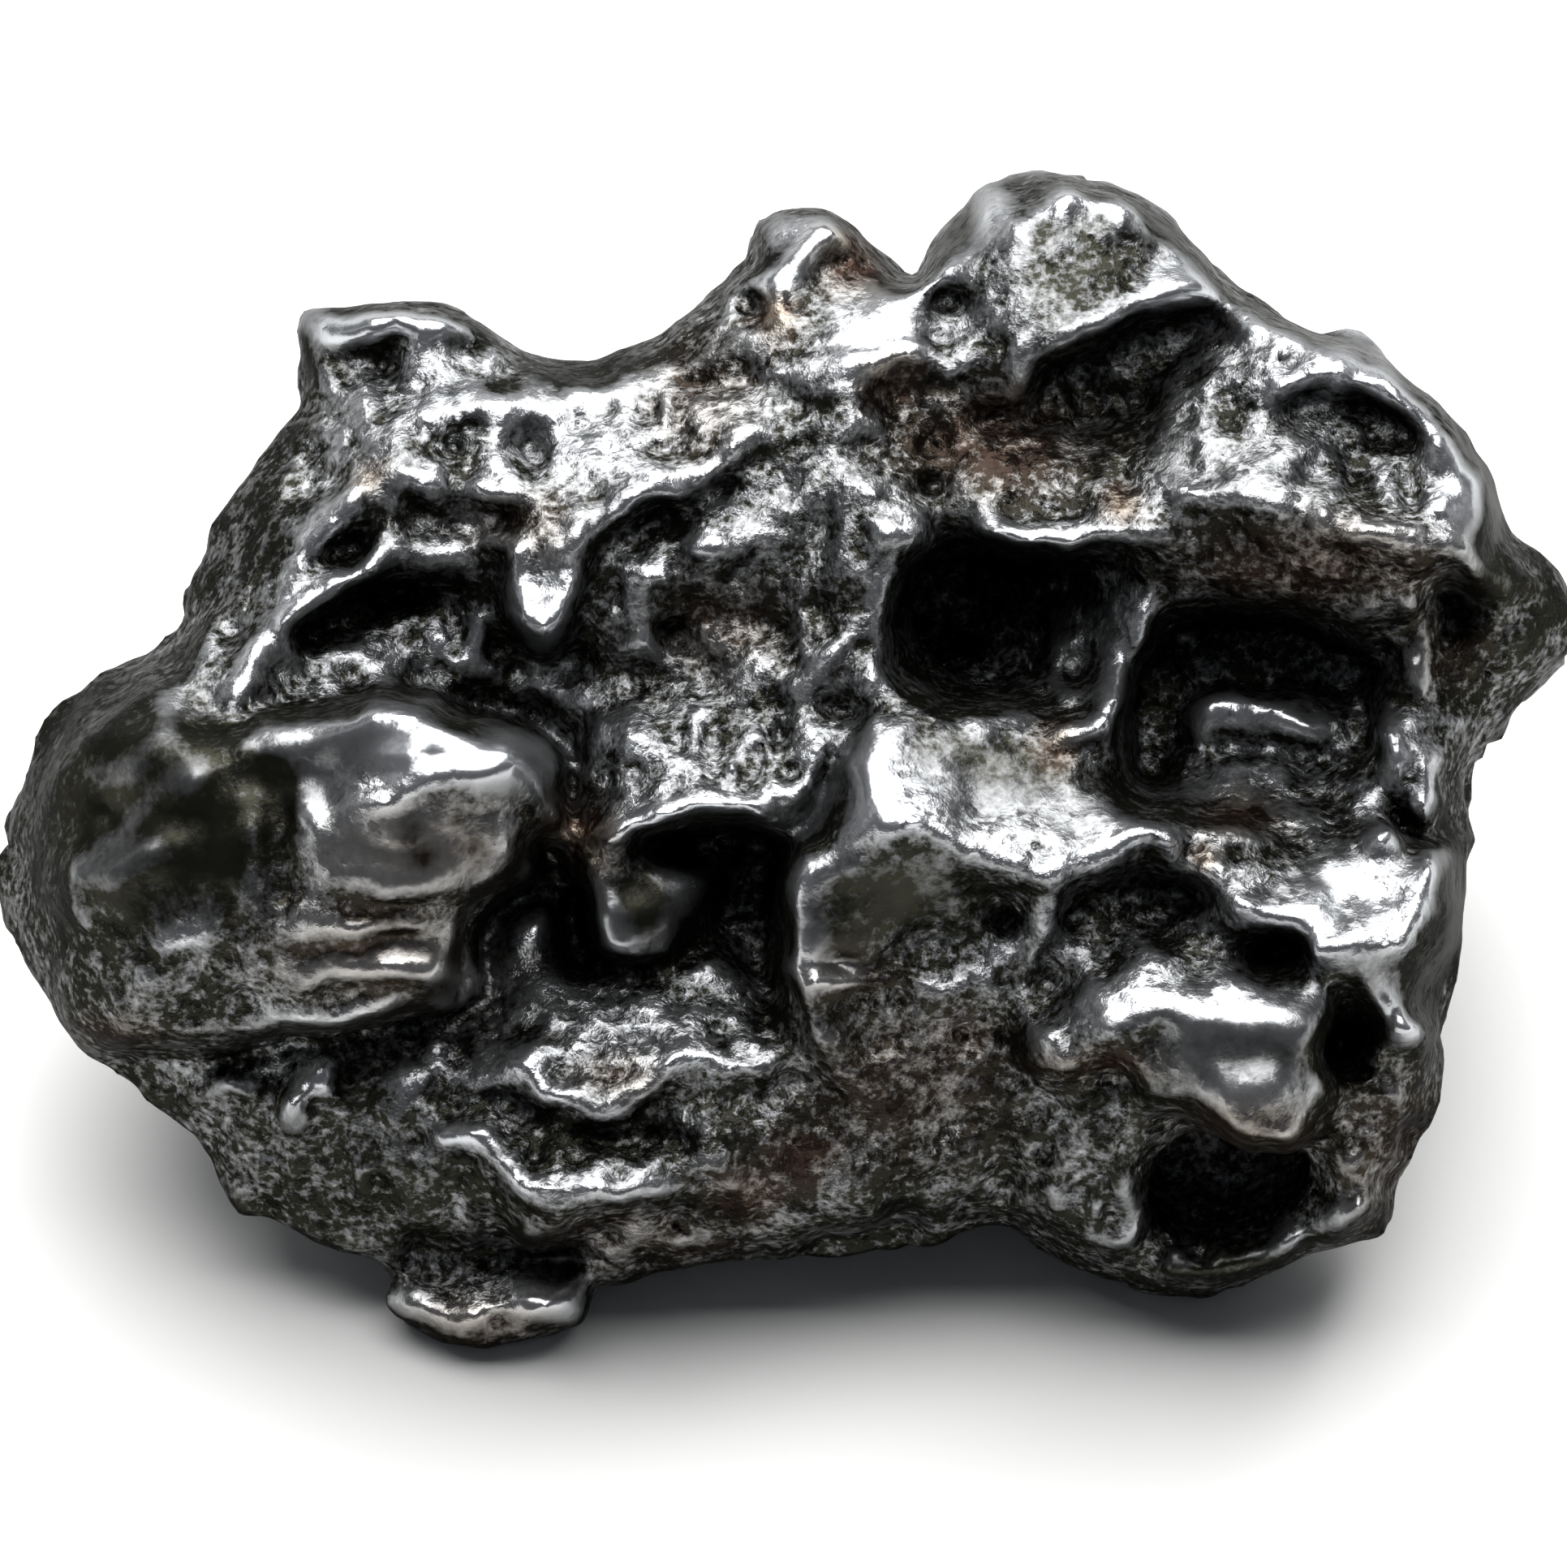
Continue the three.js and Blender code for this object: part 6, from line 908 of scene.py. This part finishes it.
def burnish(tree, convex, etched, smooth, tone_and_painted_light, grain, lumps):
    """How much the metal is worn bright: on ridges and smooth places, and on single grains; the tone adds
    painted highlights and painted shade.
    """
    speckle = node(tree, "Math", {"operation": "MULTIPLY_ADD", 1: 2.2, 2: -1.8}, {0: (grain, "Fac")})
    speckle = node(tree, "Math", {"operation": "MULTIPLY_ADD", 1: 1.4},
                   {0: (lumps, "Fac"), 2: (speckle, "Value")})
    speckle = node(tree, "Math", {"operation": "MULTIPLY"}, {0: (speckle, "Value"), 1: (etched, "Value")})
    bright = node(tree, "Math", {"operation": "MULTIPLY_ADD", 1: 0.42},
                  {0: (smooth, "Fac"), 2: (convex, "Result")})
    # the tone brings in painted highlights and painted shade
    bright = node(tree, "Math", {"operation": "ADD"}, {0: (bright, "Value"), 1: (tone_and_painted_light, "Fac")})
    bright = node(tree, "Math", {"operation": "MAXIMUM", 1: -0.08}, {0: (bright, "Value")})
    bright = node(tree, "Math", {"operation": "MULTIPLY_ADD", 1: 0.16},
                  {0: (etched, "Value"), 2: (bright, "Value")})
    return node(tree, "Math", {"operation": "ADD", "use_clamp": True},
                {0: (bright, "Value"), 1: (speckle, "Value")})


def iron_colour(tree, bright, rust, lumps):
    """Dark oxide, browner where it rusts, with the bare metal worn through it; the share of bare metal also
    carries painted highlights and painted shade.
    """
    oxide = node(tree, "Mix", {"data_type": "RGBA", 6: srgb("#191a18"), 7: srgb("#3a3930")},
                 {0: (lumps, "Fac")})
    rusty = node(tree, "Mix", {"data_type": "RGBA", 7: srgb("#3f2e28")}, {0: (rust, "Fac"), 6: (oxide, 2)})
    worn = node(tree, "Mix", {"data_type": "RGBA", 6: srgb("#c6c8cb"), 7: srgb("#b5a690")},
                {0: (rust, "Fac")})
    return node(tree, "Mix", {"data_type": "RGBA"}, {0: (bright, "Value"), 6: (rusty, 2), 7: (worn, 2)})


def crystal_normal(tree, etched, grain, where):
    """The grain as low relief, and every crystal leaning its own way."""
    crystals = node(tree, "TexVoronoi", {"Scale": 1 / (CRYSTAL_SIZE * MM)}, where)
    blocks = node(tree, "TexVoronoi", {"Scale": 1 / (BLOCK_SIZE * MM)}, where)
    relief = node(tree, "Bump", {"Distance": GRAIN_DEPTH * MM},
                  {"Height": (grain, "Fac"), "Strength": (etched, "Value")})
    lean = node(tree, "VectorMath", {"operation": "ADD"}, {0: (crystals, "Color"), 1: (blocks, "Color")})
    lean = node(tree, "VectorMath", {"operation": "SUBTRACT", 1: (1, 1, 1)}, {0: (lean, "Vector")})
    lean = node(tree, "VectorMath", {"operation": "SCALE"}, {0: (lean, "Vector"), "Scale": (etched, "Value")})
    facets = node(tree, "VectorMath", {"operation": "MULTIPLY_ADD", 1: (CRYSTAL_LEAN,) * 3},
                  {0: (lean, "Vector"), 2: (relief, "Normal")})
    return node(tree, "VectorMath", {"operation": "NORMALIZE"}, {0: (facets, "Vector")})


def weathered_iron():
    """Nickel iron, corroded and then rubbed, with painted highlights and painted shade in its colour. The
    hollows look near black and grainy, the ridges and the smooth places look bright, and the light catches
    single crystals."""
    material = bpy.data.materials.new("weathered nickel iron")
    material.use_nodes = True
    tree = material.node_tree
    tree.nodes.clear()
    # the tone attribute carries painted highlights and painted shade as well as burnish
    ridge, smooth, rust, tone_and_painted_light = (
        node(tree, "Attribute", {"attribute_name": name}) for name in ("ridge", "smooth", "rust", "tone_and_painted_light")
    )
    where = {"Vector": (node(tree, "TexCoord"), "Object")}
    grain = node(tree, "TexNoise", {"Scale": 1 / (GRAIN_SIZE * MM), "Detail": 4, "Roughness": 0.65}, where)
    lumps = node(tree, "TexNoise", {"Scale": 1 / (PATCH_SIZE * MM), "Detail": 3, "Roughness": 0.6}, where)
    convex, etched = etched_share(tree, ridge, smooth)
    bright = burnish(tree, convex, etched, smooth, tone_and_painted_light, grain, lumps)
    colour = iron_colour(tree, bright, rust, lumps)
    dull = node(tree, "MapRange", {"From Min": 0, "From Max": 1, "To Min": 0.36, "To Max": 0.24},
                {"Value": (bright, "Value")})
    facets = crystal_normal(tree, etched, grain, where)
    metal = node(tree, "BsdfPrincipled", {"Metallic": 0.92, "Specular Tint": srgb("#8c8c8c")},
                 {"Base Color": (colour, 2), "Roughness": (dull, "Result"), "Normal": (facets, "Vector")})
    node(tree, "OutputMaterial", None, {"Surface": (metal, "BSDF")})
    return material


def white_table():
    """Painted board: even, pale and without gloss, so that only the shadow shows on it."""
    material = bpy.data.materials.new("matte white table")
    material.use_nodes = True
    paint = material.node_tree.nodes["Principled BSDF"]
    paint.inputs["Base Color"].default_value = srgb("#f4f4f2")
    paint.inputs["Roughness"].default_value = 0.9
    return material


def floor_plane():
    """A plain pale table under the lump."""
    half = TABLE_SIDE / 2 * MM
    mesh = bpy.data.meshes.new("floor")
    corners = [(-half, -half, 0), (half, -half, 0), (half, half, 0), (-half, half, 0)]
    mesh.from_pydata(corners, [], [(0, 1, 2, 3)])
    mesh.materials.append(white_table())
    floor = bpy.data.objects.new("floor", mesh)
    bpy.context.scene.collection.objects.link(floor)
    return floor


def light(name, place_mm, size_mm, watts):
    """A soft rectangular light that faces the lump."""
    data = bpy.data.lights.new(name, "AREA")
    data.shape = "RECTANGLE"
    data.size, data.size_y = (s * MM for s in size_mm)
    data.energy = watts
    lamp = bpy.data.objects.new(name, data)
    lamp.location = [c * MM for c in place_mm]
    aim = Vector((0, 0, AIM_HEIGHT * MM)) - lamp.location
    lamp.rotation_euler = aim.to_track_quat("-Z", "Y").to_euler()
    bpy.context.scene.collection.objects.link(lamp)


def camera():
    data = bpy.data.cameras.new("camera")
    data.lens = LENS
    data.sensor_width = SENSOR
    data.clip_start = 0.01
    seen_from = bpy.data.objects.new("camera", data)
    distance = LENS / SENSOR * VIEW_WIDTH + VIEW_PLANE
    x, y, z = place(0, 0, distance)
    seen_from.location = ((x - CENTRE[0]) * MM, (y - CENTRE[1]) * MM, z * MM)
    seen_from.rotation_euler = (math.pi / 2 - SLOPE, 0, 0)
    bpy.context.scene.collection.objects.link(seen_from)
    bpy.context.scene.camera = seen_from


def surroundings():
    """A dim room with one large window overhead."""
    world = bpy.data.worlds.new("dim room")
    world.use_nodes = True
    sky = world.node_tree.nodes["Background"]
    sky.inputs["Color"].default_value = srgb("#b9bec8")
    sky.inputs["Strength"].default_value = 0.14
    scene = bpy.context.scene
    scene.world = world
    scene.view_settings.view_transform = "Standard"
    light("window overhead", (0, 130, 280), (440, 520), 3.5)
    light("panel left", (-230, 60, 120), (60, 160), 0.012)
    light("panel right", (230, 60, 110), (60, 160), 0.012)


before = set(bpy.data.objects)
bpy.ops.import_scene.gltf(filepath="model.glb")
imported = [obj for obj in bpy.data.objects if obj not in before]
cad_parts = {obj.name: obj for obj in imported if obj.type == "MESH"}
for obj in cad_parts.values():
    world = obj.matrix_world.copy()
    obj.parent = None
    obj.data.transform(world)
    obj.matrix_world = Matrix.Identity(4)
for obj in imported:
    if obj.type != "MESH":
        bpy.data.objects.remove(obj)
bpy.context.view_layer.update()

lump = build_lump()
lump.data.materials.append(weathered_iron())
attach(lump, "root")
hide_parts("meteorite")
floor_plane()
camera()
surroundings()
